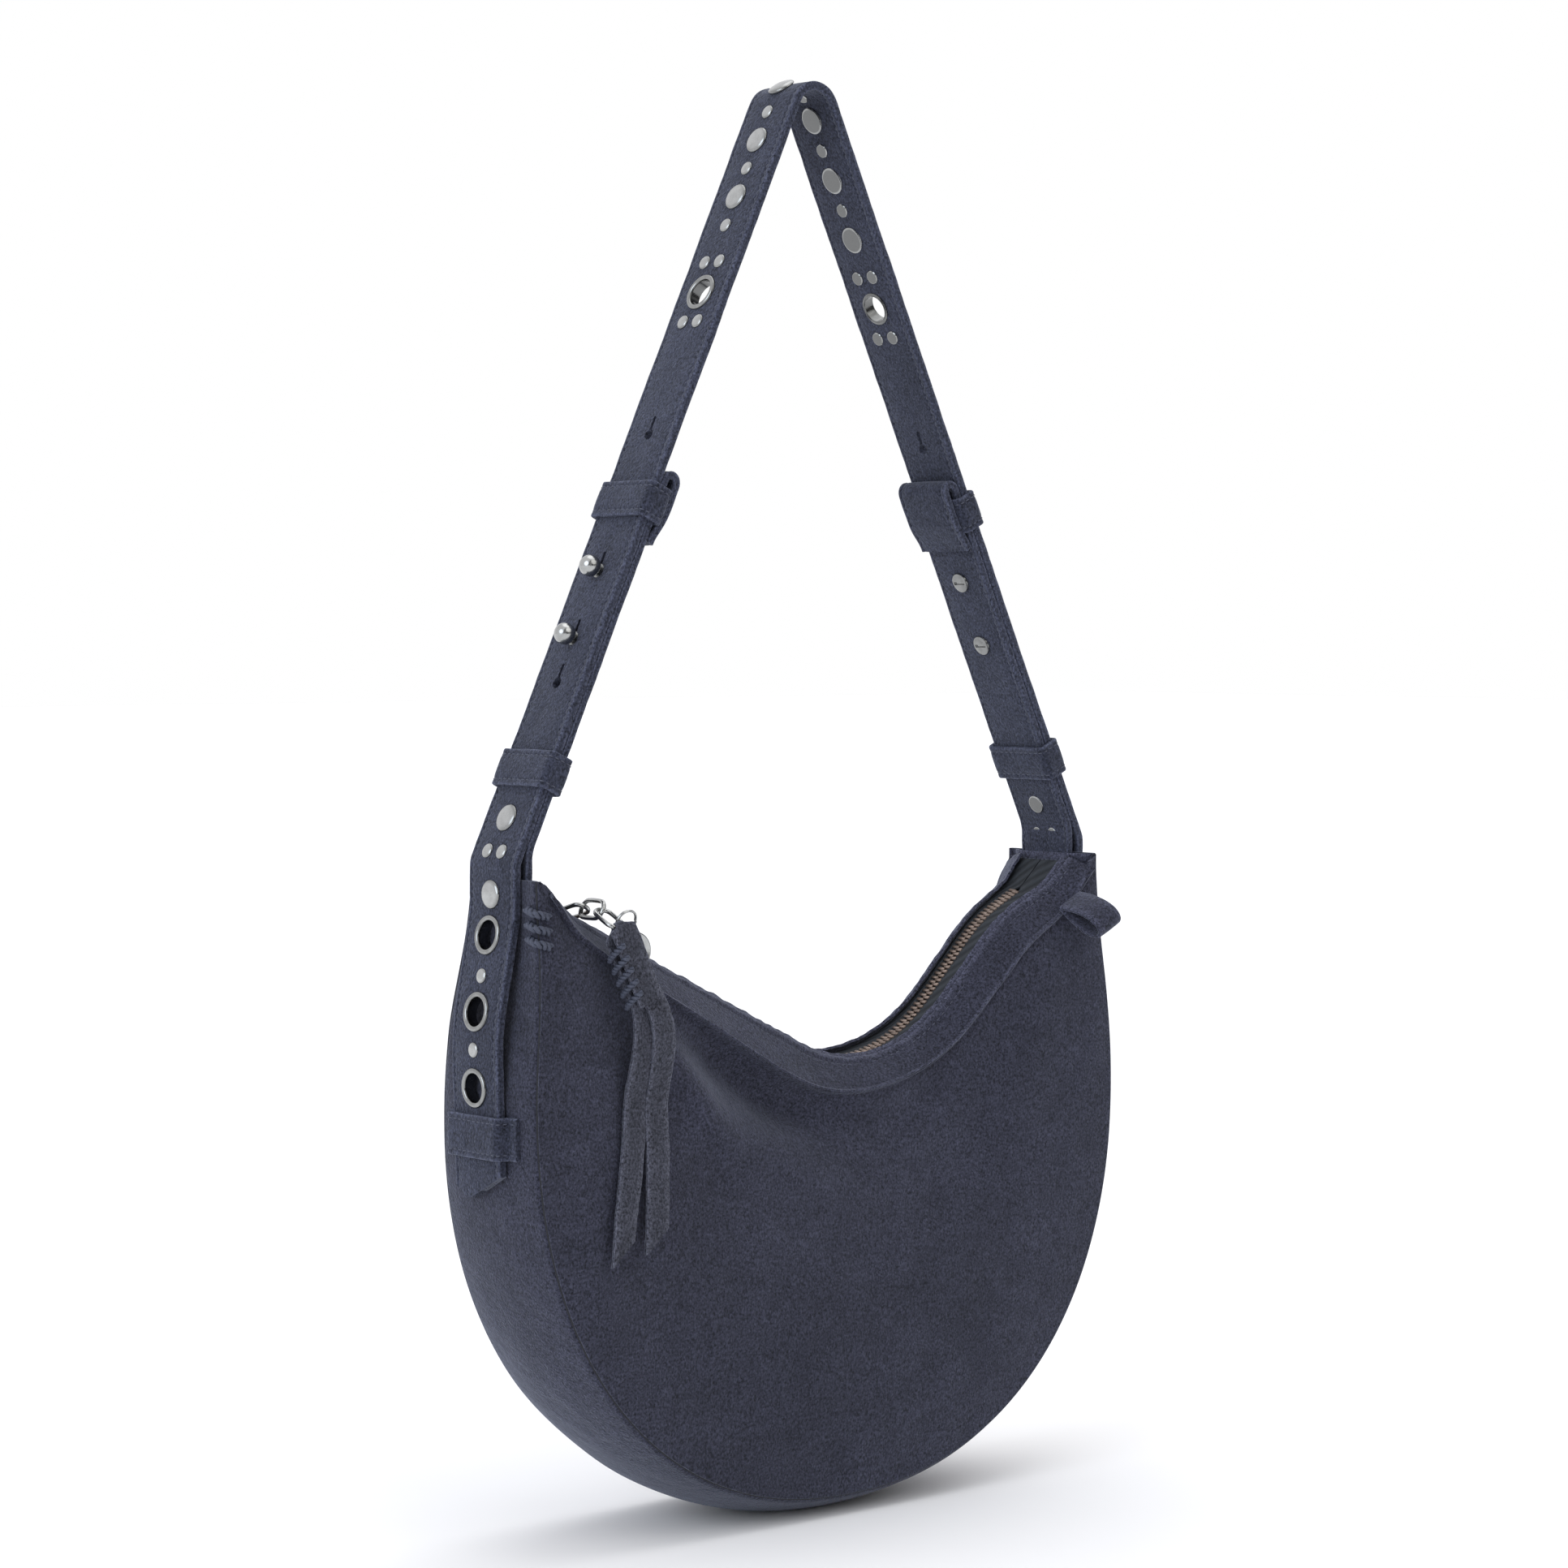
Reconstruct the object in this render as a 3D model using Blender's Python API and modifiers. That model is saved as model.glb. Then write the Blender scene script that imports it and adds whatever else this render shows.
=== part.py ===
"""A soft suede shoulder bag: half-moon body with a zipped mouth and one wide riveted strap.

Metres, +Z up. X runs along the bag, the front panel faces -Y, and z = 0 is the surface that the bag stands on,
with the origin under the middle of the body.
"""

import math

import bmesh
import bpy
import numpy as np
from mathutils import Matrix, Vector

# Body: the half-moon seam line between the panels and the gusset
BODY_WIDTH = 0.314
END_WIDTH = 0.305
END_TOP = 0.269
WIDEST_Z = 0.177
SEAM_LIFT = 0.0075
BODY_ROUNDNESS_SHARE = 2.2
END_RUN_SHARE = 0.22
BASE_DEPTH = 0.074
END_DEPTH = 0.059
PANEL_BULGE = 0.003
GUSSET_BULGE = 0.010
SIDE_BULGE = 0.0022
END_HOLLOW = 0.0009
END_WALL_SHARE = 0.74

# Leather, lining and the gap that sewn pieces keep in this model
LEATHER = 0.002
LINING = 0.0008
GAP = 0.0003
LINING_INSET = 0.0034
POCKET_SHARES = (0.35, 0.75, 0.3, 0.7)

# Mouth: corner points of the top edge, as shares of the half width and of the rise from the trough
MOUTH_END_INSET = 0.0105
MOUTH_END_DROP = 0.001
MOUTH_HALF = END_WIDTH / 2 - MOUTH_END_INSET
MOUTH_TOP = END_TOP - MOUTH_END_DROP
MOUTH_DEPTH = 0.0938
MOUTH_SHARES = ((-1, 1), (-0.9, 0.862), (0.26, 0), (0.733, 0.738), (0.915, 0.877), (1, 1))
MOUTH_ROUNDINGS = (0.020, 0.065, 0.080, 0.020)
MOUTH_GAP_MIDDLE = 0.013
MOUTH_GAP_END = 0.019
BAND_DROP = 0.012
BAND_END_DROP = 0.004
BAND_LEAN = 0.0105

# Zip
TAPE_DROP = 0.0033
TAPE_THICK = 0.0008
ROW_SLOT = 0.0016
ROW_WIDTH = 0.0026
ROW_THICK = 0.0026
ZIP_END_SHARE = 0.945
SLIDER_LENGTH = 0.010
SLIDER_WIDTH = 0.009
SLIDER_PLATE = 0.0012
SLIDER_NECK = 0.0009
SLIDER_FROM_KNEE = 0.004
BAIL_SPAN = 0.0058
BAIL_WIRE = 0.0014
BAIL_HOLE = 0.0030

# Pull chain, tassel and charm
LINK_LENGTH = 0.014
LINK_WIDTH = 0.0076
LINK_WIRE = 0.0019
LINK_RISE_ANGLE = math.radians(20)
LINK_FALL_ANGLE = math.radians(26)
TASSEL_WIDTH = 0.0125
TASSEL_HEAD_THICK = 0.0078
TASSEL_HEAD_HEIGHT = 0.036
TASSEL_TILT = math.radians(8)
TASSEL_FOLD_WIDTH = 0.0028
TASSEL_FOLD_WALL = 0.0015
TAIL_LENGTH = 0.096
TAIL_WIDTH = 0.0115
TAIL_THICK = 0.0019
TAIL_SPREAD = 0.0065
TAIL_SLANT = 0.006
RING_RADIUS = 0.0046
RING_WIRE = 0.0012
CHARM_RADIUS = 0.0077
CHARM_THICK = 0.0012
CHARM_LOOP_RADIUS = 0.0021
CHARM_LOOP_WIRE = 0.0010
CHARM_HANG_SHARE = 0.7
CHARM_SIDE_ANGLE = math.radians(48)

# Strap: the outer layer's face runs up each leg to the fold at the top
STRAP_WIDTH = 0.030
STRAP_THICK = 0.0036
STRAP_TOP = 0.594
STRAP_STAND_OUT = 0.003
STRAP_FOOT_X = END_WIDTH / 2 + STRAP_STAND_OUT
SWING_DROP = 0.006
SWING_Z = END_TOP - SWING_DROP
FOOT_STRAIGHT = 0.013
STRAP_FOOT_BEND_Z = SWING_Z + FOOT_STRAIGHT
FOOT_BEND_RADIUS = 0.012
APEX_RADIUS = 0.01245
LOBE_RADIUS = 0.0055
SHOULDER_RISE = 0.0055
SHOULDER_EDGE_RISE = 0.0095
TAIL_TOP_DROP = 0.0004
TAIL_TURN_DROP = 0.007
TAIL_BELLY_DROP = 0.055
TAIL_LENGTH_DOWN = 0.121
TAIL_BELLY_Z = SWING_Z - TAIL_BELLY_DROP
TAIL_TIP_Z = SWING_Z - TAIL_LENGTH_DOWN
TAIL_TIP_RISE = 0.011
TAIL_TIP_OFFSET = 0.0065
TAIL_FLARE = 0.009
TAIL_BELLY_GAP = 0.0017
TAIL_TUCK = 0.002
TAIL_BEND_RADIUS = 0.100
TAIL_TURN_RADIUS = 0.020

# Inner tab straps, folded over at the top
TAB_THICK = 0.0032
TAB_RISE_SHARE = 0.51057
TAB_FOLD_LENGTH = 0.026
TAB_FOLD_GAP = 0.0028
TAB_BEND_RADIUS = 0.020
FACING_THICK = 0.0015
FACING_DROP = 0.033
FACING_WIDTH = 0.042
LINING_DROP = 0.036

# Keepers and loops
KEEPER_HEIGHT = 0.0155
KEEPER_THICK = 0.002
KEEPER_CORNER = 0.0012
UPPER_KEEPER_SHARE = 0.46287
LOWER_KEEPER_SHARE = 0.14229
LOOP_SHARE = 0.78512
LOOP_HEIGHT = 0.017
LOOP_FOOT = 0.005
SIDE_LOOP_INSET = 0.015
SIDE_LOOP_WIDTH = 0.014
SIDE_LOOP_LENGTH = 0.024
SIDE_LOOP_DEPTH = 0.0105
SIDE_LOOP_FALL_ANGLE = math.radians(33)

# Metal on the strap: places are shares of the run from the swing axis up to the fold, or down to the tail's tip,
# and the rivets near the fold are counted back from it
CAP_RADIUS = 0.0052
CAP_RISE = 0.0015
CAP_BACK_RADIUS = 0.0042
CAP_BACK_THICK = 0.0004
POST_RADIUS = 0.0013
EYELET_RADIUS = 0.0080
EYELET_HOLE_RADIUS = 0.0053
EYELET_LIP = 0.0009
EYELET_WALL = 0.0007
EYELET_BACK_RADIUS = 0.0068
EYELET_BACK_THICK = 0.0004
BALL_RADIUS = 0.0044
STUD_NECK_RADIUS = 0.0019
STUD_BACK_RADIUS = 0.0045
STUD_BACK_THICK = 0.0012
KEYHOLE_RADIUS = 0.0031
KEYHOLE_SLIT = 0.0100
KEYHOLE_SLIT_WIDTH = 0.0016
DISC_SHARE = 0.08521
STUD_SHARES = (0.29621, 0.37736)
KEYHOLE_SHARES = (0.24346, 0.54237)
EYELET_FROM_FOLD = 0.1042
RIVET_PITCH = 0.0133
LEFT_DISC_STEPS = (0.5, 2.5, 4.5)
RIGHT_DISC_STEPS = (1.5, 3.5, 5.5)
FOLD_CAP_STAND_OFF = 0.0009
TAIL_EYELET_SHARES = (0.13223, 0.38017, 0.62810)

# Smoothness of the solids
PANEL_COLUMNS = 32
PANEL_ROWS = 4
GUSSET_COLUMNS = 44
GUSSET_ROWS = 6
LINING_ROWS = 4
ROUND_STEPS = 12
CHARM_STEPS = 20
LINK_POINTS = 14
CURVE_SAMPLES = 24
CUTTER_OVERRUN = 0.004
SAMPLE_STEP_SHARE = 0.001
KINK_ANGLE = math.radians(1.2)

PARTS = None
CUTTERS = None


def clear_scene():
    for obj in list(bpy.data.objects):
        bpy.data.objects.remove(obj, do_unlink=True)


def make_collection(name):
    made = bpy.data.collections.new(name)
    bpy.context.scene.collection.children.link(made)
    return made


def finish(name, colour, roughness, metallic):
    """A plain material for one kind of stuff."""
    made = bpy.data.materials.get(name)
    if made is None:
        made = bpy.data.materials.new(name)
        made.use_nodes = True
        shader = made.node_tree.nodes["Principled BSDF"]
        shader.inputs["Base Color"].default_value = (*colour, 1)
        shader.inputs["Roughness"].default_value = roughness
        shader.inputs["Metallic"].default_value = metallic
    return made


def suede():
    return finish("navy_suede", (0.045, 0.05, 0.075), 0.95, 0)


def cloth():
    return finish("lining_cloth", (0.03, 0.032, 0.04), 0.9, 0)


def nickel():
    return finish("antique_nickel", (0.42, 0.41, 0.38), 0.3, 1)


def bronze():
    return finish("dark_bronze", (0.16, 0.13, 0.12), 0.35, 1)


def add_mesh(name, bm, material, matrix=None, collection=None):
    mesh = bpy.data.meshes.new(name)
    bm.to_mesh(mesh)
    bm.free()
    mesh.materials.append(material)
    obj = bpy.data.objects.new(name, mesh)
    (collection or PARTS).objects.link(obj)
    if matrix is not None:
        obj.matrix_world = matrix
    return obj


def sheet(columns, rows, place):
    """A primitive grid whose corners, shares from 0 to 1 both ways, go where place says."""
    bm = bmesh.new()
    bmesh.ops.create_grid(bm, x_segments=columns, y_segments=rows, size=1)
    for vert in bm.verts:
        vert.co = Vector(place((vert.co.x + 1) / 2, (vert.co.y + 1) / 2))
    return bm


def faced_out(bm):
    """The closed body with its faces pointing outward."""
    if bm.calc_volume(signed=True) < 0:
        bmesh.ops.reverse_faces(bm, faces=bm.faces)
    return bm


def pulled(bm, shift):
    """The open sheet pulled in one direction into a closed slab."""
    made = bmesh.ops.extrude_face_region(bm, geom=bm.faces[:])
    moved = [part for part in made["geom"] if isinstance(part, bmesh.types.BMVert)]
    bmesh.ops.translate(bm, verts=moved, vec=Vector(shift))
    bmesh.ops.recalc_face_normals(bm, faces=bm.faces)
    return faced_out(bm)


def solidify(obj, thick, offset=-1):
    made = obj.modifiers.new("thickness", "SOLIDIFY")
    made.thickness = thick
    made.offset = offset
    made.use_even_offset = True
    return made


def cut(obj, cutter):
    made = obj.modifiers.new("cut", "BOOLEAN")
    made.operation = "DIFFERENCE"
    made.object = cutter


def hide_cutter(obj):
    obj.hide_render = True
    obj.display_type = "WIRE"
    return obj


def plate(name, outlines, thick, matrix, material, collection=None):
    """A flat outline, with holes where there is more than one loop, drawn in XY and thickened along Z."""
    curve = bpy.data.curves.new(name, "CURVE")
    curve.dimensions = "2D"
    curve.fill_mode = "BOTH"
    curve.extrude = thick / 2
    for outline in outlines:
        spline = curve.splines.new("POLY")
        spline.points.add(len(outline) - 1)
        for point, (x, y) in zip(spline.points, outline):
            point.co = (x, y, 0, 1)
        spline.use_cyclic_u = True
    curve.materials.append(material)
    obj = bpy.data.objects.new(name, curve)
    (collection or PARTS).objects.link(obj)
    obj.matrix_world = matrix
    return obj


def meshed(obj):
    """The curve object as a mesh object with its caps sewn on."""
    bpy.context.view_layer.update()
    graph = bpy.context.evaluated_depsgraph_get()
    mesh = bpy.data.meshes.new_from_object(obj.evaluated_get(graph))
    bm = bmesh.new()
    bm.from_mesh(mesh)
    bmesh.ops.remove_doubles(bm, verts=bm.verts, dist=GAP / 100)
    bmesh.ops.recalc_face_normals(bm, faces=bm.faces)
    faced_out(bm).to_mesh(mesh)
    bm.free()
    name = obj.name
    matrix = obj.matrix_world.copy()
    home = obj.users_collection[0]
    bpy.data.objects.remove(obj, do_unlink=True)
    made = bpy.data.objects.new(name, mesh)
    home.objects.link(made)
    made.matrix_world = matrix
    return made


def wire(name, points, thick, matrix, material, closed=True, resolution=1):
    """A round wire through the points."""
    curve = bpy.data.curves.new(name, "CURVE")
    curve.dimensions = "3D"
    curve.bevel_depth = thick / 2
    curve.bevel_resolution = resolution
    curve.use_fill_caps = True
    spline = curve.splines.new("POLY")
    spline.points.add(len(points) - 1)
    for point, place in zip(spline.points, points):
        point.co = (*place, 1)
    spline.use_cyclic_u = closed
    curve.materials.append(material)
    obj = bpy.data.objects.new(name, curve)
    PARTS.objects.link(obj)
    obj.matrix_world = matrix
    return obj


def turned(name, profile, matrix, material, steps=ROUND_STEPS):
    """A profile of (radius, height) pairs, from the top down its outer side, spun round local Z."""
    bm = bmesh.new()
    verts = [bm.verts.new((radius, 0, height)) for radius, height in profile]
    for first, second in zip(verts, verts[1:]):
        bm.edges.new((first, second))
    obj = add_mesh(name, bm, material, matrix)
    spin = obj.modifiers.new("turn", "SCREW")
    spin.steps = steps
    spin.render_steps = steps
    spin.use_merge_vertices = True
    spin.merge_threshold = POST_RADIUS / 1000
    spin.use_normal_calculate = True
    spin.use_normal_flip = True
    return obj


def frame(origin, x_axis, z_axis):
    """A matrix at origin with local X and Z along the given directions."""
    z_axis = Vector(z_axis).normalized()
    x_axis = Vector(x_axis)
    x_axis = (x_axis - z_axis * x_axis.dot(z_axis)).normalized()
    y_axis = z_axis.cross(x_axis)
    turn = Matrix((x_axis, y_axis, z_axis)).transposed().to_4x4()
    return Matrix.Translation(Vector(origin)) @ turn


def filleted(corners, radii):
    """The corner points joined by straight runs, with an arc of each radius at the corners between the ends.

    An arc keeps to its half of a run that it shares with another arc.
    """
    points = [Vector(corners[0])]
    runs = [(Vector(after) - Vector(before)).length for before, after in zip(corners, corners[1:])]
    runs = [run / 2 if 0 < number < len(runs) - 1 else run for number, run in enumerate(runs)]
    rooms = [min(pair) for pair in zip(runs, runs[1:])]
    for before, corner, after, radius, room in zip(corners, corners[1:], corners[2:], radii, rooms):
        corner = Vector(corner)
        back = (Vector(before) - corner).normalized()
        ahead = (Vector(after) - corner).normalized()
        half = back.angle(ahead) / 2
        radius = min(radius, room * math.tan(half))
        middle = corner + (back + ahead).normalized() * radius / math.sin(half)
        start = corner + back * radius / math.tan(half) - middle
        end = corner + ahead * radius / math.tan(half) - middle
        sweep = start.angle(end)
        for step in range(CURVE_SAMPLES + 1):
            turn = sweep * step / CURVE_SAMPLES
            points.append(middle + (start * math.sin(sweep - turn) + end * math.sin(turn)) / math.sin(sweep))
    points.append(Vector(corners[-1]))
    return np.array([tuple(point) for point in points])


class Path:
    """A line of points that can be asked for the place and direction at any share of its length."""

    def __init__(self, points):
        points = np.array(points, float)
        steps = np.linalg.norm(np.diff(points, axis=0), axis=1)
        keep = np.concatenate([[True], steps > 0])
        self.points = points[keep]
        self.run = np.concatenate([[0], np.cumsum(steps[steps > 0])])
        self.length = self.run[-1]

    def at(self, share):
        where = share * self.length
        return tuple(float(np.interp(where, self.run, column)) for column in self.points.T)

    def direction(self, share):
        low = self.at(max(share - SAMPLE_STEP_SHARE, 0))
        high = self.at(min(share + SAMPLE_STEP_SHARE, 1))
        return tuple(Vector(high).__sub__(Vector(low)).normalized())

    def share_at_height(self, z):
        """The share where the height is z, on a line that only climbs."""
        return float(np.interp(z, self.points[:, 1], self.run)) / self.length

    def share_at_x(self, x):
        """The share where x is reached, on a line that only runs to the right."""
        return float(np.interp(x, self.points[:, 0], self.run)) / self.length


def seam_line():
    """The seam from the left end's top, down and round the bottom, to the right end's top, as (x, z)."""
    power = 2 / BODY_ROUNDNESS_SHARE
    half = BODY_WIDTH / 2
    points = []
    for step in range(2 * CURVE_SAMPLES + 1):
        angle = math.pi / 2 * step / (2 * CURVE_SAMPLES)
        x = half * math.sin(angle) ** power
        z = SEAM_LIFT + (WIDEST_Z - SEAM_LIFT) * (1 - max(math.cos(angle), 0) ** power)
        points.append((x, z))
    for step in range(1, CURVE_SAMPLES + 1):
        share = step / CURVE_SAMPLES
        inward = min(share / (1 - END_RUN_SHARE), 1)
        inward = inward * inward * (3 - 2 * inward)
        points.append((half - (BODY_WIDTH - END_WIDTH) / 2 * inward, WIDEST_Z + (END_TOP - WIDEST_Z) * share))
    left = [(-x, z) for x, z in reversed(points)]
    return Path(left + points[1:])


def half_depth(z):
    share = (z - SEAM_LIFT) / (END_TOP - SEAM_LIFT)
    return (BASE_DEPTH + (END_DEPTH - BASE_DEPTH) * share) / 2


def mouth_line():
    """The top edge of the mouth from left to right, as (x, z)."""
    bottom = MOUTH_TOP - MOUTH_DEPTH
    corners = [(MOUTH_HALF * across, bottom + MOUTH_DEPTH * up) for across, up in MOUTH_SHARES]
    return Path(filleted(corners, MOUTH_ROUNDINGS))


def mouth_gap(share):
    """Half the distance between the two top edges."""
    return MOUTH_GAP_MIDDLE + (MOUTH_GAP_END - MOUTH_GAP_MIDDLE) * (2 * share - 1) ** 2


def band_drop(share):
    return BAND_DROP - (BAND_DROP - BAND_END_DROP) * (2 * share - 1) ** 6


def mouth_point(mouth, share, drop, y):
    """A place near the mouth line, drop below it square to the line."""
    x, z = mouth.at(share)
    along_x, along_z = mouth.direction(share)
    return (x + along_z * drop, y, z - along_x * drop)


def seam_inset(seam, share, inset):
    """The seam line moved inward by inset."""
    x, z = seam.at(share)
    along_x, along_z = seam.direction(share)
    return (x - along_z * inset, z + along_x * inset)


def panel_place(seam, mouth, side, inset, depth_in, top_gap):
    """Places for a panel: side is -1 at the front and +1 at the back."""

    def place(across, up):
        across = across if side < 0 else 1 - across
        low_x, low_z = seam_inset(seam, across, inset)
        top = mouth_point(mouth, across, band_drop(across) + top_gap, 0)
        low_y = half_depth(low_z)
        top_y = mouth_gap(across) + BAND_LEAN
        bulge = PANEL_BULGE * math.sin(math.pi * up) * (1 - (2 * across - 1) ** 4)
        y = low_y + (top_y - low_y) * up + bulge - depth_in
        return (low_x + (top[0] - low_x) * up, side * y, low_z + (top[2] - low_z) * up)

    return place


def build_panels(seam, mouth):
    for name, side in (("front_panel", -1), ("back_panel", 1)):
        bm = sheet(PANEL_COLUMNS, PANEL_ROWS, panel_place(seam, mouth, side, 0, 0, GAP))
        add_mesh(name, pulled(bm, (0, -side * LEATHER, 0)), suede())
    inner = LEATHER + GAP
    for name, side in (("lining_front", -1), ("lining_back", 1)):
        place = panel_place(seam, mouth, side, LINING_INSET + LINING + GAP, inner, LEATHER)
        bm = sheet(PANEL_COLUMNS, PANEL_ROWS, place)
        add_mesh(name, pulled(bm, (0, -side * LINING, 0)), cloth())


def gusset_bulge(z):
    """How far the gusset's middle stands out past the seam."""
    height = (z - SEAM_LIFT) / (WIDEST_Z - SEAM_LIFT)
    low = GUSSET_BULGE + (SIDE_BULGE - GUSSET_BULGE) * min(max(height, 0), 1) ** 0.5
    if z <= WIDEST_Z:
        return low
    top = min((z - WIDEST_Z) / (END_TOP - WIDEST_Z) / END_WALL_SHARE, 1)
    return SIDE_BULGE - (END_HOLLOW + SIDE_BULGE) * top


def gusset_place(seam, inset, depth_in, floor, first=0):
    def place(along, across):
        x, z = seam.at(first + (1 - 2 * first) * along)
        half = half_depth(z) - depth_in
        side = 2 * across - 1
        power = 2 if z < WIDEST_Z else 4
        out = gusset_bulge(z) * (1 - abs(side) ** power) - inset
        out_x, out_z = seam_inset(seam, first + (1 - 2 * first) * along, -out)
        return (out_x, half * side, max(out_z, floor))

    return place


def gusset_out(seam, z, y):
    """How far out in X the gusset's outer face is at this height and depth, up the side."""
    right = np.array(seam.points[len(seam.points) // 2 :])
    side = y / (half_depth(z) - LEATHER - GAP)
    return float(np.interp(z, right[:, 1], right[:, 0])) + gusset_bulge(z) * (1 - side**2)


def build_gusset(seam):
    bm = sheet(GUSSET_COLUMNS, GUSSET_ROWS, gusset_place(seam, 0, LEATHER + GAP, 0))
    bmesh.ops.reverse_faces(bm, faces=bm.faces)
    gusset = add_mesh("gusset", bm, suede())
    solidify(gusset, LEATHER)
    for side in (-1, 1):
        place = (side * STRAP_FOOT_X, 0, SWING_Z)
        cut(gusset, hole_cutter(place, (1, 0, 0), POST_RADIUS + GAP, STRAP_WIDTH))
    depth_in = LEATHER + GAP + LINING + GAP
    end_share = LINING_DROP / seam.length
    place = gusset_place(seam, LINING_INSET, depth_in, LEATHER + GAP, end_share)
    bm = sheet(GUSSET_COLUMNS, LINING_ROWS, place)
    bmesh.ops.reverse_faces(bm, faces=bm.faces)
    solidify(add_mesh("lining_gusset", bm, cloth()), LINING)


def build_pocket(seam, mouth):
    """A flat patch pocket on the back lining, open at its top edge."""
    inset = LEATHER + GAP + LINING + GAP
    whole = panel_place(seam, mouth, 1, LINING_INSET, inset, LEATHER)
    low, high, left, right = POCKET_SHARES

    def place(across, up):
        return whole(left + (right - left) * across, low + (high - low) * up)

    bm = sheet(PANEL_COLUMNS // 2, PANEL_ROWS, place)
    add_mesh("slip_pocket", pulled(bm, (0, -LINING, 0)), cloth())


def build_bands(mouth):
    for name, side in (("front_top_band", -1), ("back_top_band", 1)):

        def place(along, up, side=side):
            along = along if side < 0 else 1 - along
            y = side * (mouth_gap(along) + BAND_LEAN * (1 - up))
            return mouth_point(mouth, along, band_drop(along) * (1 - up), y)

        bm = sheet(PANEL_COLUMNS, 1, place)
        add_mesh(name, pulled(bm, (0, -side * LEATHER, 0)), suede())


def straight_run(mouth):
    """Where the mouth's long straight run starts, after the left knee, and its direction."""
    start_x = mouth.points[0][0]
    knee = Vector((MOUTH_HALF * MOUTH_SHARES[1][0], MOUTH_TOP - MOUTH_DEPTH * (1 - MOUTH_SHARES[1][1])))
    low = Vector((MOUTH_HALF * MOUTH_SHARES[2][0], MOUTH_TOP - MOUTH_DEPTH))
    along = (low - knee).normalized()
    turn = along.angle(knee - Vector((start_x, MOUTH_TOP)))
    return knee + along * MOUTH_ROUNDINGS[0] * math.tan(turn / 2), along


def build_zip(mouth):
    """Two tapes, each with its row of teeth, along the mouth."""
    first, last = mouth.share_at_x(straight_run(mouth)[0].x), ZIP_END_SHARE
    row_out = ROW_SLOT / 2 + ROW_WIDTH
    for side, word in ((-1, "front"), (1, "back")):

        def tape(along, across, side=side):
            share = first + (last - first) * along
            inner = row_out + GAP
            outer = mouth_gap(share) + BAND_LEAN * TAPE_DROP / band_drop(share) - LEATHER - GAP
            across = across if side < 0 else 1 - across
            y = outer + (inner - outer) * across
            return mouth_point(mouth, share, TAPE_DROP, side * y)

        def row(along, across, side=side):
            share = first + (last - first) * along
            across = across if side < 0 else 1 - across
            y = row_out - ROW_WIDTH * across
            drop = TAPE_DROP + TAPE_THICK / 2 - ROW_THICK / 2
            return mouth_point(mouth, share, drop, side * y)

        made = add_mesh("zip_tape_" + word, sheet(PANEL_COLUMNS, 1, tape), cloth())
        solidify(made, TAPE_THICK)
        made = add_mesh("zip_teeth_" + word, sheet(PANEL_COLUMNS, 1, row), bronze())
        solidify(made, ROW_THICK)


def oval(length, width):
    """A link's centre line in XY, long along X, with its near end at the origin."""
    radius = width / 2
    points = []
    for step in range(LINK_POINTS):
        angle = 2 * math.pi * step / LINK_POINTS
        straight = (length - width) / 2 * (1 if math.cos(angle) > 0 else -1)
        points.append((length / 2 + straight + radius * math.cos(angle), radius * math.sin(angle), 0))
    return points


def ring(radius):
    turn = 2 * math.pi / LINK_POINTS
    return [(radius * math.cos(turn * k), radius * math.sin(turn * k), 0) for k in range(LINK_POINTS)]


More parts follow.
